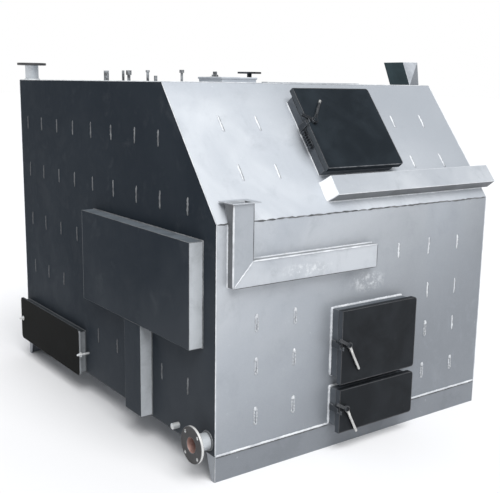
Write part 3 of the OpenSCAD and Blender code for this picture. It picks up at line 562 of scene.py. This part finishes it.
# New pieces are gathered one small mesh at a time, then ride as one object.
def finishPiece(name, bm, finish=weldBright, body="boiler", smooth=True):
    mesh = bpy.data.meshes.new(name)
    bm.to_mesh(mesh)
    bm.free()
    for face in mesh.polygons:
        face.use_smooth = smooth
    mesh.materials.append(finish)
    piece = bpy.data.objects.new(name, mesh)
    scene.collection.objects.link(piece)
    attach(piece, body)
    print(name, len(mesh.polygons), "faces")


def pourInto(target, bm):
    mesh = bpy.data.meshes.new("scratch")
    bm.to_mesh(mesh)
    bm.free()
    target.from_mesh(mesh)
    bpy.data.meshes.remove(mesh)


def startRing(bm, sides, radius, place, capped=True):
    made = bmesh.ops.create_circle(bm, cap_ends=capped, segments=sides, radius=radius, matrix=place)
    return list({edge for vert in made["verts"] for edge in vert.link_edges})


def drawRing(bm, ring, move):
    # the ring's edges are drawn on to their next place, and the new ring is handed back
    made = bmesh.ops.extrude_edge_only(bm, edges=ring)["geom"]
    verts = [item for item in made if isinstance(item, bmesh.types.BMVert)]
    fresh = set(verts)
    ring = [item for item in made if isinstance(item, bmesh.types.BMEdge) and fresh.issuperset(item.verts)]
    bmesh.ops.transform(bm, matrix=move, verts=verts)
    return ring


beadShape = {
    "sides": 8, "pitch": 0.0075, "wander": 0.0009, "ripple": 0.09, "beat": 2.1, "chance": 0.8,
    "tipSize": 0.5, "tipGrowth": 0.3,  # size of an open end, and its growth from ring to ring
}


def layBead(target, points, lift, width, height, dice, pitch=beadShape["pitch"], wander=beadShape["wander"],
            ripple=beadShape["ripple"], closed=False):
    # a ring of a few corners is drawn along the path, swelling and shrinking as a weld pool does
    s = beadShape
    stations = []
    for start, end in zip(points[:-1], points[1:]):
        steps = max(2, round((end - start).length / pitch))
        stations += [start.lerp(end, i / steps) for i in range(steps)]
    if not closed:
        stations.append(points[-1])
    bm = bmesh.new()
    previous, ring, first = None, None, None
    last = len(stations) - 1
    for i, spot in enumerate(stations):
        ahead = stations[(i + 1) % len(stations)] if closed or i < last else spot
        behind = stations[i - 1] if closed or i else spot
        along = (ahead - behind).normalized()
        up = lift(spot) if callable(lift) else lift
        side = along.cross(up).normalized()
        swell = 1.0 + ripple * (math.sin(i * s["beat"]) + dice.uniform(-s["chance"], s["chance"]))
        if not closed:
            swell *= min(1.0, s["tipSize"] + s["tipGrowth"] * min(i, last - i))
        spot = spot + side * dice.uniform(-wander, wander)
        turn = Matrix((side, up, along)).transposed().to_4x4()
        size = Matrix.Diagonal((0.5 * width * swell, height * swell, 1.0, 1.0))
        now = Matrix.Translation(spot) @ turn @ size
        if ring is None:
            ring = first = startRing(bm, s["sides"], 1.0, now, not closed)
        else:
            ring = drawRing(bm, ring, now @ previous.inverted())
        previous = now
    if closed:
        bmesh.ops.bridge_loops(bm, edges=ring + first)
    else:
        bmesh.ops.edgeloop_fill(bm, edges=ring)
    bmesh.ops.recalc_face_normals(bm, faces=bm.faces)
    pourInto(target, bm)


def ringPath(centre, axis, radius, count):
    side = axis.orthogonal().normalized()
    other = axis.cross(side)
    turns = [2 * math.pi * i / count for i in range(count + 1)]
    return [centre + side * radius * math.cos(turn) + other * radius * math.sin(turn) for turn in turns]


def arcTurns(start, sweep, steps=6):
    return [math.radians(start + sweep * i / steps) for i in range(steps + 1)]


# Slot welds of the stays that tie the jacket's two plates together.
stayWelds = {
    "length": 0.094, "width": 0.0140, "height": 0.0042, "lean": 0.05, "kink": 0.1,
    "reachSpread": (0.9, 1.06), "widthSpread": (0.80, 1.0), "heightSpread": (0.9, 1.2),
    "run": dict(pitch=0.0085, wander=0.0018, ripple=0.16),
    "beadShadowAside": 0.58, "beadShadowWidth": 0.0045, "beadShadowHeight": 0.0012,
    "frontPlaces": [
        (1.25, 1.075), (1.5, 1.076), (1.752, 1.076), (1.51, 0.808), (1.753, 0.802), (1.753, 0.568),
    ],
    "slopePlaces": [
        (0.258, 0.582), (0.496, 0.58), (0.258, 0.282), (0.492, 0.276),
        (1.512, 0.573), (1.762, 0.572), (1.516, 0.287), (1.769, 0.283),
    ],
    "leftPlaces": {  # height of a row, and its places from the front
        1.71: (0.553, 0.813, 1.097, 1.364, 1.624, 1.872, 2.125, 2.368),
        1.388: (0.261, 0.539, 0.799, 1.079, 1.354, 1.614, 1.857, 2.113, 2.351),
        1.04: (1.598, 1.85, 2.105, 2.341),
        0.70: (1.826, 2.08, 2.322),
        0.44: (0.258, 0.528, 1.059, 1.314),
    },
    "plainPitch": 0.2625, "plainFrom": 0.258, "plainClear": 0.09, "collarClear": 0.09,
    "rightCount": 9, "rearCount": 7,
}
stayLoops = {
    "places": [
        (0.25, 0.806), (0.5, 0.806), (0.25, 0.577), (0.5, 0.579), (0.25, 0.306), (0.5, 0.314),
        (1.508, 0.57), (1.5, 0.308), (1.753, 0.312),
    ],
    "half": 0.0075, "width": 0.0075, "reachSpread": (0.88, 1.0), "halfSpread": (0.85, 1.15),
    "heightSpread": (0.7, 0.9), "run": dict(pitch=0.006, wander=0.0016, ripple=0.34),
    "beadShadowEnd": 0.1, "beadShadowWidth": 0.7, "beadShadowHeight": 0.0008, "beadShadowRun": dict(pitch=0.009, ripple=0.4),
    "heapBelow": 0.012, "heapAbove": 0.010, "heapWidth": 1.15, "heapHeight": 1.4, "heapPitch": 0.005,
}


def addStayMark(target, beadShadow, dice, middle, along, out):
    s = stayWelds
    lean = along + dice.uniform(-s["lean"], s["lean"]) * along.cross(out)
    reach = 0.5 * s["length"] * dice.uniform(*s["reachSpread"])
    points = [middle - lean * reach, middle + lean * reach * s["kink"], middle + lean * reach]
    width = s["width"] * dice.uniform(*s["widthSpread"])
    height = s["height"] * dice.uniform(*s["heightSpread"])
    layBead(target, points, out, width, height, dice, **s["run"])
    if beadShadow is not None:  # a dark line beside the bead, its painted shadow
        aside = rightward * s["beadShadowAside"] * s["width"]
        ends = [points[0] + aside, points[2] + aside]
        layBead(beadShadow, ends, out, s["beadShadowWidth"], s["beadShadowHeight"], dice, s["run"]["pitch"])


def addStayLoop(target, beadShadow, dice, x, z):
    # where the slot was not filled, the bead runs round it; the top of the run is handed back
    s = stayLoops
    reach = 0.5 * stayWelds["length"] * dice.uniform(*s["reachSpread"]) - s["half"]
    side = s["half"] * dice.uniform(*s["halfSpread"])
    points = []
    for middle, start in ((z + reach, 0), (z - reach, 180)):
        for turn in arcTurns(start, 180):
            points.append(at(x + side * math.cos(turn), 0.0, middle + s["half"] * math.sin(turn)))
    points.append(points[0])
    height = stayWelds["height"] * dice.uniform(*s["heightSpread"])
    layBead(target, points, forward, s["width"], height, dice, closed=True, **s["run"])
    # a dark line down the open slot: painted shade in its hollow
    slot = [at(x, 0.0, z - reach), at(x, 0.0, z - reach * s["beadShadowEnd"])]
    layBead(beadShadow, slot, forward, s["beadShadowWidth"] * s["half"], s["beadShadowHeight"], dice, **s["beadShadowRun"])
    return at(x, 0.0, z + reach)


def collarRadiusOf():
    left, right = sidesOf("flue_collar")
    return 0.5 * (right - left)


def addStayWelds():
    s, loops = stayWelds, stayLoops
    dice = random.Random(11)
    bm, beadShadow, rings = bmesh.new(), bmesh.new(), bmesh.new()
    heapSize = loops["heapWidth"] * s["width"], loops["heapHeight"] * s["height"]
    for x, z in loops["places"]:
        end = addStayLoop(rings, beadShadow, dice, x, z)  # the run stopped at the top, in a small heap
        heap = [end - upward * loops["heapBelow"], end + upward * loops["heapAbove"]]
        layBead(bm, heap, forward, *heapSize, dice, loops["heapPitch"])
    finishPiece("stayLoops", rings, weldSoft)
    for x, z in s["frontPlaces"]:
        addStayMark(bm, beadShadow, dice, at(x, 0.0, z), upward, forward)
    for x, up in s["slopePlaces"]:
        addStayMark(bm, beadShadow, dice, onSlope(x, up), slopeUp, slopeOut)
    finishPiece("stayWeldsFront", bm)
    finishPiece("stayBeadShadows", beadShadow, beadShadowFinish)
    bm = bmesh.new()
    for z, places in s["leftPlaces"].items():
        for y in places:
            addStayMark(bm, None, dice, at(0.0, y, z), upward, leftward)
    finishPiece("stayWeldsLeft", bm, shadedWeld)
    # the right and the rear wall repeat the same rows
    bm = bmesh.new()
    collar, collarRadius = middleOf("flue_collar"), collarRadiusOf()
    for z in sorted(s["leftPlaces"]):
        slopeY = max(0.0, z - bendZ) * slopeUp.y / slopeUp.z
        for i in range(s["rightCount"]):
            y = s["plainFrom"] + i * s["plainPitch"]
            if y > slopeY + s["plainClear"]:
                addStayMark(bm, None, dice, at(shellWidth, y, z), upward, rightward)
        for i in range(s["rearCount"]):
            x = 0.5 * shellWidth + (i - (s["rearCount"] - 1) / 2) * s["plainPitch"]
            spot = at(x, shellDepth, z)
            if (spot - Vector((collar.x, spot.y, collar.z))).length > collarRadius + s["collarClear"]:
                addStayMark(bm, None, dice, spot, upward, backward)
    finishPiece("stayWeldsPlain", bm)


# Seam welds of the shell, the frames, the ducts and the pipes, all from one run of dice.
seamDice = random.Random(23)
seamWelds = {
    "height": 0.5, "shellWidth": 0.0125, "shellDrop": 0.002, "shellInset": 0.004, "shellLean": 0.3,
    "cornerWidth": 0.005, "cornerRun": dict(wander=0.0003, ripple=0.03), "cornerInset": 0.001,
    "frontLean": 0.6, "rearLean": 0.8, "slopeFrom": 0.002, "slopeEnd": 0.004, "topInset": 0.003,
    "frameWidth": 0.018, "sillClear": 0.05, "sideWidth": 0.010,
}
seamZ = floorZ - seamWelds["shellDrop"]
edgeIn = seamWelds["cornerInset"]
shellEdges = ((edgeIn, leftward), (shellWidth - edgeIn, rightward))


def seam(target, points, out, width, **run):
    layBead(target, points, out, width, width * seamWelds["height"], seamDice, **run)


def cornerSeam(target, start, end, out):
    seam(target, [start, end], out, seamWelds["cornerWidth"], **seamWelds["cornerRun"])


def besideAshFrame():
    # the two stretches of the front's foot, left and right of the ash door's frame
    left, right = sidesOf("ash_frame")
    return (seamWelds["shellInset"], left), (right, shellWidth - seamWelds["shellInset"])


def addFrontSeams():
    s = seamWelds
    bm = bmesh.new()
    for start, end in besideAshFrame():
        out = between(forward, upward, s["shellLean"])
        seam(bm, [at(start, 0, seamZ), at(end, 0, seamZ)], out, s["shellWidth"])
    for x, side in shellEdges:  # up the corners and the slope's edges
        y = s["cornerInset"]
        cornerSeam(bm, at(x, y, floorZ), at(x, y, bendZ), between(forward, side, s["frontLean"]))
        start, end = onSlope(x, s["slopeFrom"]), onSlope(x, slopeLength - s["slopeEnd"])
        cornerSeam(bm, start, end, between(slopeOut, side, s["frontLean"]))
    for node in ("fire_frame", "ash_frame"):  # round the frames, where they pass through the front
        left, right = sidesOf(node)
        low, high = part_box(node)
        bottom, top = max(low.z, floorZ), high.z
        path = ((left, bottom), (left, top), (right, top), (right, bottom))
        seam(bm, [at(x, 0, z) for x, z in path], forward, s["frameWidth"])
        if bottom > floorZ + s["sillClear"]:
            seam(bm, [at(left, 0, bottom), at(right, 0, bottom)], forward, s["frameWidth"])
    finishPiece("frontSeams", bm)


slopeWelds = {
    "loadFrom": 0.233, "loadTo": slopeLength - 0.135, "frameWidth": 0.011,
    "ductFrom": 0.07, "ductTo": 0.19, "ductWidth": 0.010, "browWidth": 0.006, "inset": 0.003,
}


def addSlopeSeams():
    s = slopeWelds
    bm = bmesh.new()
    left, right = sidesOf("load_frame")
    low, high = s["loadFrom"], s["loadTo"]
    path = ((left, low), (left, high), (right, high), (right, low), (left, low))
    seam(bm, [onSlope(x, up) for x, up in path], slopeOut, s["frameWidth"])
    left, right = sidesOf("slope_air_duct")[0], shellWidth - s["inset"]
    low, high = s["ductFrom"], s["ductTo"]
    for up in (low, high):
        seam(bm, [onSlope(left, up), onSlope(right, up)], slopeOut, s["ductWidth"])
    seam(bm, [onSlope(left, low), onSlope(left, high)], slopeOut, s["ductWidth"])
    path = [onSlope(s["inset"], slopeLength), onSlope(right, slopeLength)]
    seam(bm, path, between(slopeOut, upward), s["browWidth"])
    finishPiece("slopeSeams", bm)


frontDuctWelds = {
    "wallSeam": [
        (0.185, 1.328), (0.185, 1.143), (1.031, 1.143), (1.031, 1.015), (0.065, 1.015), (0.065, 1.328),
    ],
    "mitre": [(0.072, 1.021), (0.183, 1.140)],
    "edges": [  # a pale strip along a folded edge, a painted highlight, and the way it looks
        ([(0.065, 1.016), (0.065, 1.429)], (-1, -1, 0)),
        ([(0.186, 1.143), (1.030, 1.143)], (0, -1, 1)),
    ],
    "shades": [  # an edge in the duct's own shade
        ([(1.031, 1.016), (1.031, 1.142)], (1, -1, 0)),
        ([(0.185, 1.146), (0.185, 1.429)], (1, -1, 0)),
        ([(0.066, 1.015), (1.030, 1.015)], (0, -1, -1)),
    ],
    "wallWidth": 0.010, "mitreWidth": 0.008, "mouthOver": 0.010, "edgeWidth": 0.010, "shadeWidth": 0.005,
    "edgeHeight": 0.0016, "edgeRun": dict(pitch=0.02, wander=0.0003, ripple=0.05),
}


def addDuctSeams():
    s = frontDuctWelds
    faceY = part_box("front_air_duct")[0].y - corner.y + s["mouthOver"]

    # pale strips along the duct's edges are painted highlights, the dark ones painted shade
    def edgeLightAndShade(target, edges, width):
        for points, out in edges:
            path = [at(x, faceY, z) for x, z in points]
            layBead(target, path, Vector(out).normalized(), width, s["edgeHeight"], seamDice, **s["edgeRun"])

    bm = bmesh.new()
    seam(bm, [at(x, 0.0, z) for x, z in s["wallSeam"]], forward, s["wallWidth"])
    seam(bm, [at(x, faceY, z) for x, z in s["mitre"]], forward, s["mitreWidth"])
    edgeLightAndShade(bm, s["edges"], s["edgeWidth"])
    finishPiece("ductSeams", bm)
    bm = bmesh.new()
    edgeLightAndShade(bm, s["shades"], s["shadeWidth"])
    finishPiece("ductShades", bm, edgeShadowFinish)


def addSideSeams():
    bm = bmesh.new()
    for node in ("side_air_box", "side_air_duct", "hatch_frame"):
        low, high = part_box(node)
        front, back, bottom, top = low.y - corner.y, high.y - corner.y, low.z, high.z
        path = ((back, bottom), (back, top), (front, top), (front, bottom), (back, bottom))
        seam(bm, [at(0, y, z) for y, z in path], leftward, seamWelds["sideWidth"])
    finishPiece("sideSeams", bm, shadedWeld)


pipeWelds = {
    "width": 0.014, "out": 0.003, "pipeHeight": 0.009, "pipeSteps": 48, "pipePitch": 0.006,
    "collarHeight": 0.008, "collarSteps": 96,
}


def addPipeSeams():
    s = pipeWelds
    pipeRadius = connection["pipe"] + s["out"]
    spot, supply, collar = middleOf("return_flange"), middleOf("supply_flange"), middleOf("flue_collar")

    def pipeSeam(target, centre, axis):
        path = ringPath(centre, axis, pipeRadius, s["pipeSteps"])
        layBead(target, path, axis, s["width"], s["pipeHeight"], seamDice, s["pipePitch"], closed=True)

    bm = bmesh.new()
    pipeSeam(bm, Vector((corner.x, spot.y, spot.z)), leftward)
    finishPiece("returnSeam", bm, shadedWeld)
    bm = bmesh.new()
    pipeSeam(bm, Vector((supply.x, supply.y, shellTop)), upward)
    centre = Vector((collar.x, wallHigh.y, collar.z))
    path = ringPath(centre, backward, collarRadiusOf() + s["out"], s["collarSteps"])
    layBead(bm, path, backward, s["width"], s["collarHeight"], seamDice, closed=True)
    finishPiece("pipeSeams", bm)


def addRearSeams():
    s = seamWelds
    bm = bmesh.new()
    back = shellDepth - s["cornerInset"]
    for x, side in shellEdges:  # the rear corners and the top's edges
        cornerSeam(bm, at(x, back, floorZ), at(x, back, shellTop), between(backward, side, s["rearLean"]))
        cornerSeam(bm, at(x, browY, shellTop), at(x, back, shellTop), between(upward, side, s["rearLean"]))
    start, end = at(s["topInset"], back, shellTop), at(shellWidth - s["topInset"], back, shellTop)
    cornerSeam(bm, start, end, between(upward, backward))
    start, end = at(s["shellInset"], shellDepth, seamZ), at(shellWidth - s["shellInset"], shellDepth, seamZ)
    seam(bm, [start, end], between(backward, upward, s["shellLean"]), s["shellWidth"])
    finishPiece("rearSeams", bm)


bendWeld = {
    "inset": 0.003, "back": 0.002, "width": 0.0075, "height": 0.0045,
    "run": dict(pitch=0.021, wander=0.0022, ripple=0.3),
    "jointDrop": 0.0125, "jointWidth": 0.006, "jointHeight": 0.0016,
    "jointRun": dict(pitch=0.03, wander=0.0005),
}


def addBendSeam():
    # the slope's sheet was flame cut along the bend, and its edge wanders over the front; the dark strip
    # there is that edge with the painted shadow under its lap
    s = bendWeld
    bm = bmesh.new()
    path = [at(x, s["back"], bendZ) for x in (s["inset"], shellWidth - s["inset"])]
    layBead(bm, path, forward, s["width"], s["height"], seamDice, **s["run"])
    for ends in besideAshFrame():  # a dark strip under the front's lower weld, painted shade in the open joint
        path = [at(x, 0.0, floorZ - s["jointDrop"]) for x in ends]
        layBead(bm, path, forward, s["jointWidth"], s["jointHeight"], seamDice, **s["jointRun"])
    finishPiece("bendSeam", bm, edgeShadowFinish)


# The folded edges of the doors get pale strips, painted highlights along the folds.
doorEdges = {
    "out": 0.090, "inset": 0.0025, "radius": 0.0155, "width": 0.0048, "height": 0.0008,
    "run": dict(pitch=0.03, wander=0.0002, ripple=0.05),
    "loadFrom": 0.221, "loadTo": slopeLength - 0.099,
    "lipLeft": 0.004, "lipRight": 0.022, "lipHeight": 2.0,
    "lipRun": dict(pitch=0.012, wander=0.0003, ripple=0.12),
}


def addDoorEdges():
    s = doorEdges
    dice = random.Random(31)

    def onFront(x, z):
        return at(x, -s["out"], z)

    def onLoad(x, up):
        return onSlope(x, up, s["out"])

    def edge(name, door, spot, out, low, high):
        left, right = sidesOf(door)
        left, right, low, high = left + s["inset"], right - s["inset"], low + s["inset"], high - s["inset"]
        points = [spot(left, low), spot(left, high)]
        x, radius = right - s["radius"], s["radius"]
        for y, start in ((high - radius, 90), (low + radius, 0)):
            for turn in arcTurns(start, -90):
                points.append(spot(x + radius * math.cos(turn), y + radius * math.sin(turn)))
        points.append(points[0])
        bm = bmesh.new()
        layBead(bm, points, out, s["width"], s["height"], dice, closed=True, **s["run"])
        finishPiece(name, bm, faintEdgeHighlight, door)

    for name, door in (("fireDoorEdge", "fire_door"), ("ashDoorEdge", "ash_door")):
        low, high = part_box(door)
        edge(name, door, onFront, forward, low.z, high.z)
    edge("loadDoorEdge", "load_door", onLoad, slopeOut, s["loadFrom"], s["loadTo"])
    left, right = sidesOf("load_door")  # the loading door's lower edge gets a paler strip, a painted highlight along its fold
    bm = bmesh.new()
    path = [onLoad(x, s["loadFrom"] + s["inset"]) for x in (left + s["lipLeft"], right - s["lipRight"])]
    layBead(bm, path, slopeOut, s["width"], s["lipHeight"] * s["height"], dice, **s["lipRun"])
    finishPiece("loadDoorLip", bm, blackEdge, "load_door")


# Studs, nuts and washers.
nutShape = {"round": 0.12, "roundSegments": 2, "washerSides": 20, "washerRadius": 0.85, "washerThick": 0.25}
studShape = {"sides": 14, "plain": 0.35, "threaded": 0.6, "turns": 16, "root": 0.86, "tip": 0.7}


def standing(middle, axis):
    return Matrix.Translation(middle) @ upward.rotation_difference(axis).to_matrix().to_4x4()


def addDrum(bm, sides, radius, depth, place):
    bmesh.ops.create_cone(bm, cap_ends=True, segments=sides, radius1=radius, radius2=radius, depth=depth,
                          matrix=place)


def addNut(target, middle, axis, across, thick):
    # a hexagon with turned corners, drawn over a washer
    s = nutShape
    bm = bmesh.new()
    place = standing(middle, axis)
    addDrum(bm, 6, across / math.sqrt(3), thick, place @ Matrix.Translation((0, 0, 0.5 * thick)))
    bmesh.ops.bevel(bm, geom=list(bm.edges), offset=thick * s["round"], affect="EDGES",
                    segments=s["roundSegments"], profile=0.5, material=-1)
    addDrum(bm, s["washerSides"], across * s["washerRadius"], thick * s["washerThick"], place)
    pourInto(target, bm)


def addStud(target, start, end, radius):
    # a rod with a narrow tip and a few turned threads at its free end
    s = studShape
    bm = bmesh.new()
    length = (end - start).length
    place = standing(start, (end - start).normalized())
    ring = startRing(bm, s["sides"], radius, place)
    profile = [(length * s["plain"], 1.0)]
    for i in range(1, s["turns"] + 1):
        profile.append((length * (s["plain"] + s["threaded"] * i / s["turns"]), 1.0 if i % 2 else s["root"]))
    profile.append((length, s["tip"]))
    z, scale = 0.0, 1.0
    for nextZ, nextScale in profile:
        grow = Matrix.Diagonal((nextScale / scale, nextScale / scale, 1, 1))
        move = Matrix.Translation((0, 0, nextZ)) @ grow @ Matrix.Translation((0, 0, -z))
        ring = drawRing(bm, ring, place @ move @ place.inverted())
        z, scale = nextZ, nextScale
    bmesh.ops.edgeloop_fill(bm, edges=ring)
    bmesh.ops.recalc_face_normals(bm, faces=bm.faces)
    pourInto(target, bm)


fasteners = {
    "studReach": 0.083, "studRadius": 0.0075, "studBefore": 0.028, "studWithin": 0.036, "studSunk": 0.004,
    "nutAcross": 0.020, "nutThick": 0.013, "nutOff": 0.002,
    "capPlace": (0.516, 0.80), "capRadius": 0.013, "capReach": 0.030, "capAcross": 0.034, "capThick": 0.012,
}


def addFasteners():
    s = fasteners
    low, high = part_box("hatch_cover")
    outer = corner.x - low.x
    bm = bmesh.new()
    # one stud stands on the wall before the cover, the other comes through it
    for y, root in ((low.y - s["studBefore"], 0.0), (high.y - s["studWithin"], outer - s["studSunk"])):
        spot = Vector((corner.x, y, 0.5 * (low.z + high.z)))
        addStud(bm, spot + leftward * root, spot + leftward * s["studReach"], s["studRadius"])
        addNut(bm, spot + leftward * (outer + s["nutOff"]), leftward, s["nutAcross"], s["nutThick"])
    finishPiece("hatchStuds", bm, finishes["fitting_paint"], smooth=False)
    bm = bmesh.new()
    foot = at(*s["capPlace"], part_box("top_hatch")[1].z)
    addStud(bm, foot, foot + upward * s["capReach"], s["capRadius"])
    addNut(bm, foot, upward, s["capAcross"], s["capThick"])
    finishPiece("hatchCap", bm, finishes["fitting_paint"], smooth=False)


# The coil spring on the left of the loading frame, on a rod between two bosses.
latchSpring = {
    "from": 0.396, "to": 0.478, "out": 0.044, "off": 0.015, "coil": 0.0115, "wire": 0.0064,
    "turns": 5, "steps": 14,
    "run": dict(pitch=1.0, wander=0.0, ripple=0.0),  # so long a pitch leaves two steps from point to point
    "rod": 0.004, "rodPast": 0.016, "bossPast": 0.008, "bossAcross": 0.016, "bossSunk": 0.006,
}


def addLatchSpring():
    s = latchSpring
    dice = random.Random(5)
    x = sidesOf("load_frame")[0] - s["off"]
    low, high = onSlope(x, s["from"], s["out"]), onSlope(x, s["to"], s["out"])
    count = s["turns"] * s["steps"]

    def fromRod(spot):
        away = spot - low
        return (away - slopeUp * away.dot(slopeUp)).normalized()

    points = []
    for i in range(count + 1):
        turn = 2 * math.pi * i / s["steps"]
        out = leftward * math.cos(turn) + slopeOut * math.sin(turn)
        points.append(low.lerp(high, i / count) + out * s["coil"])
    bm = bmesh.new()
    layBead(bm, points, fromRod, s["wire"], 0.5 * s["wire"], dice, **s["run"])
    addStud(bm, low - slopeUp * s["rodPast"], high + slopeUp * s["rodPast"], s["rod"])
    for spot in (low - slopeUp * s["bossPast"], high + slopeUp * s["bossPast"]):
        addNut(bm, spot + rightward * s["off"], leftward, s["bossAcross"], s["off"] + s["bossSunk"])
    finishPiece("latchSpring", bm, finishes["black_paint"], smooth=False)


addStayWelds()
addFrontSeams()
addSlopeSeams()
addDuctSeams()
addSideSeams()
addPipeSeams()
addRearSeams()
addBendSeam()
addDoorEdges()
addFasteners()
addLatchSpring()
print("welds, edges, fasteners and spring added")

# Camera, fitted to the corners of the shell.
view = {
    "place": (-3.1276, -4.4595, 1.9938), "turn": 36.1296, "down": 11.1733, "roll": -0.873,
    "lens": 59.195, "sensor": 36.0, "clipEnd": 400.0,
}


def addCamera():
    data = bpy.data.cameras.new("photoCamera")
    data.lens = view["lens"]
    data.sensor_width = view["sensor"]
    data.clip_end = view["clipEnd"]
    camera = bpy.data.objects.new("photoCamera", data)
    place = Matrix.Translation(view["place"])
    for axis, angle in (("Z", -view["turn"]), ("X", 90.0 - view["down"]), ("Z", -view["roll"])):
        place = place @ Matrix.Rotation(math.radians(angle), 4, axis)
    camera.matrix_world = place
    scene.collection.objects.link(camera)
    scene.camera = camera


studio = {
    "floor": (0.78, 0.78, 0.79), "floorRough": 0.9, "floorHalf": 120.0, "floorCells": 8,
    "sky": (0.96, 0.98, 1.0), "skyStrength": 0.5, "backdrop": (1, 1, 1),
    "lamps": (  # name, strength, the way it shines, and its softness in degrees
        ("keyLight", 3.3, (0.14, 0.55, -0.83), 50.0),
        ("fillLight", 0.35, (-0.35, -0.75, -0.55), 70.0),
    ),
}


def addStudio():
    s = studio
    bm = bmesh.new()
    bmesh.ops.create_grid(bm, x_segments=s["floorCells"], y_segments=s["floorCells"], size=s["floorHalf"])
    mesh = bpy.data.meshes.new("studioFloor")
    bm.to_mesh(mesh)
    bm.free()
    finish, _, shader = newFinish("studioFloor")
    shader.inputs["Base Color"].default_value = (*s["floor"], 1.0)
    shader.inputs["Roughness"].default_value = s["floorRough"]
    mesh.materials.append(finish)
    floor = bpy.data.objects.new("studioFloor", mesh)
    scene.collection.objects.link(floor)
    world = bpy.data.worlds.new("studioSky")
    world.use_nodes = True
    tree = world.node_tree
    sky = tree.nodes["Background"]
    sky.inputs["Color"].default_value = (*s["sky"], 1.0)
    sky.inputs["Strength"].default_value = s["skyStrength"]
    backdrop = addNode(tree, "Background", {"Color": (*s["backdrop"], 1), "Strength": 1.0})
    seen = addNode(tree, "LightPath").outputs["Is Camera Ray"]
    mixed = addNode(tree, "MixShader", {0: seen, 1: sky.outputs[0], 2: backdrop.outputs[0]})
    tree.links.new(mixed.outputs[0], tree.nodes["World Output"].inputs["Surface"])
    scene.world = world
    for name, power, way, soft in s["lamps"]:
        data = bpy.data.lights.new(name, "SUN")
        data.energy = power
        data.angle = math.radians(soft)
        lamp = bpy.data.objects.new(name, data)
        lamp.rotation_euler = Vector(way).to_track_quat("-Z", "Y").to_euler()
        scene.collection.objects.link(lamp)
    scene.view_settings.view_transform = "Standard"


addCamera()
addStudio()
print("camera and studio set")
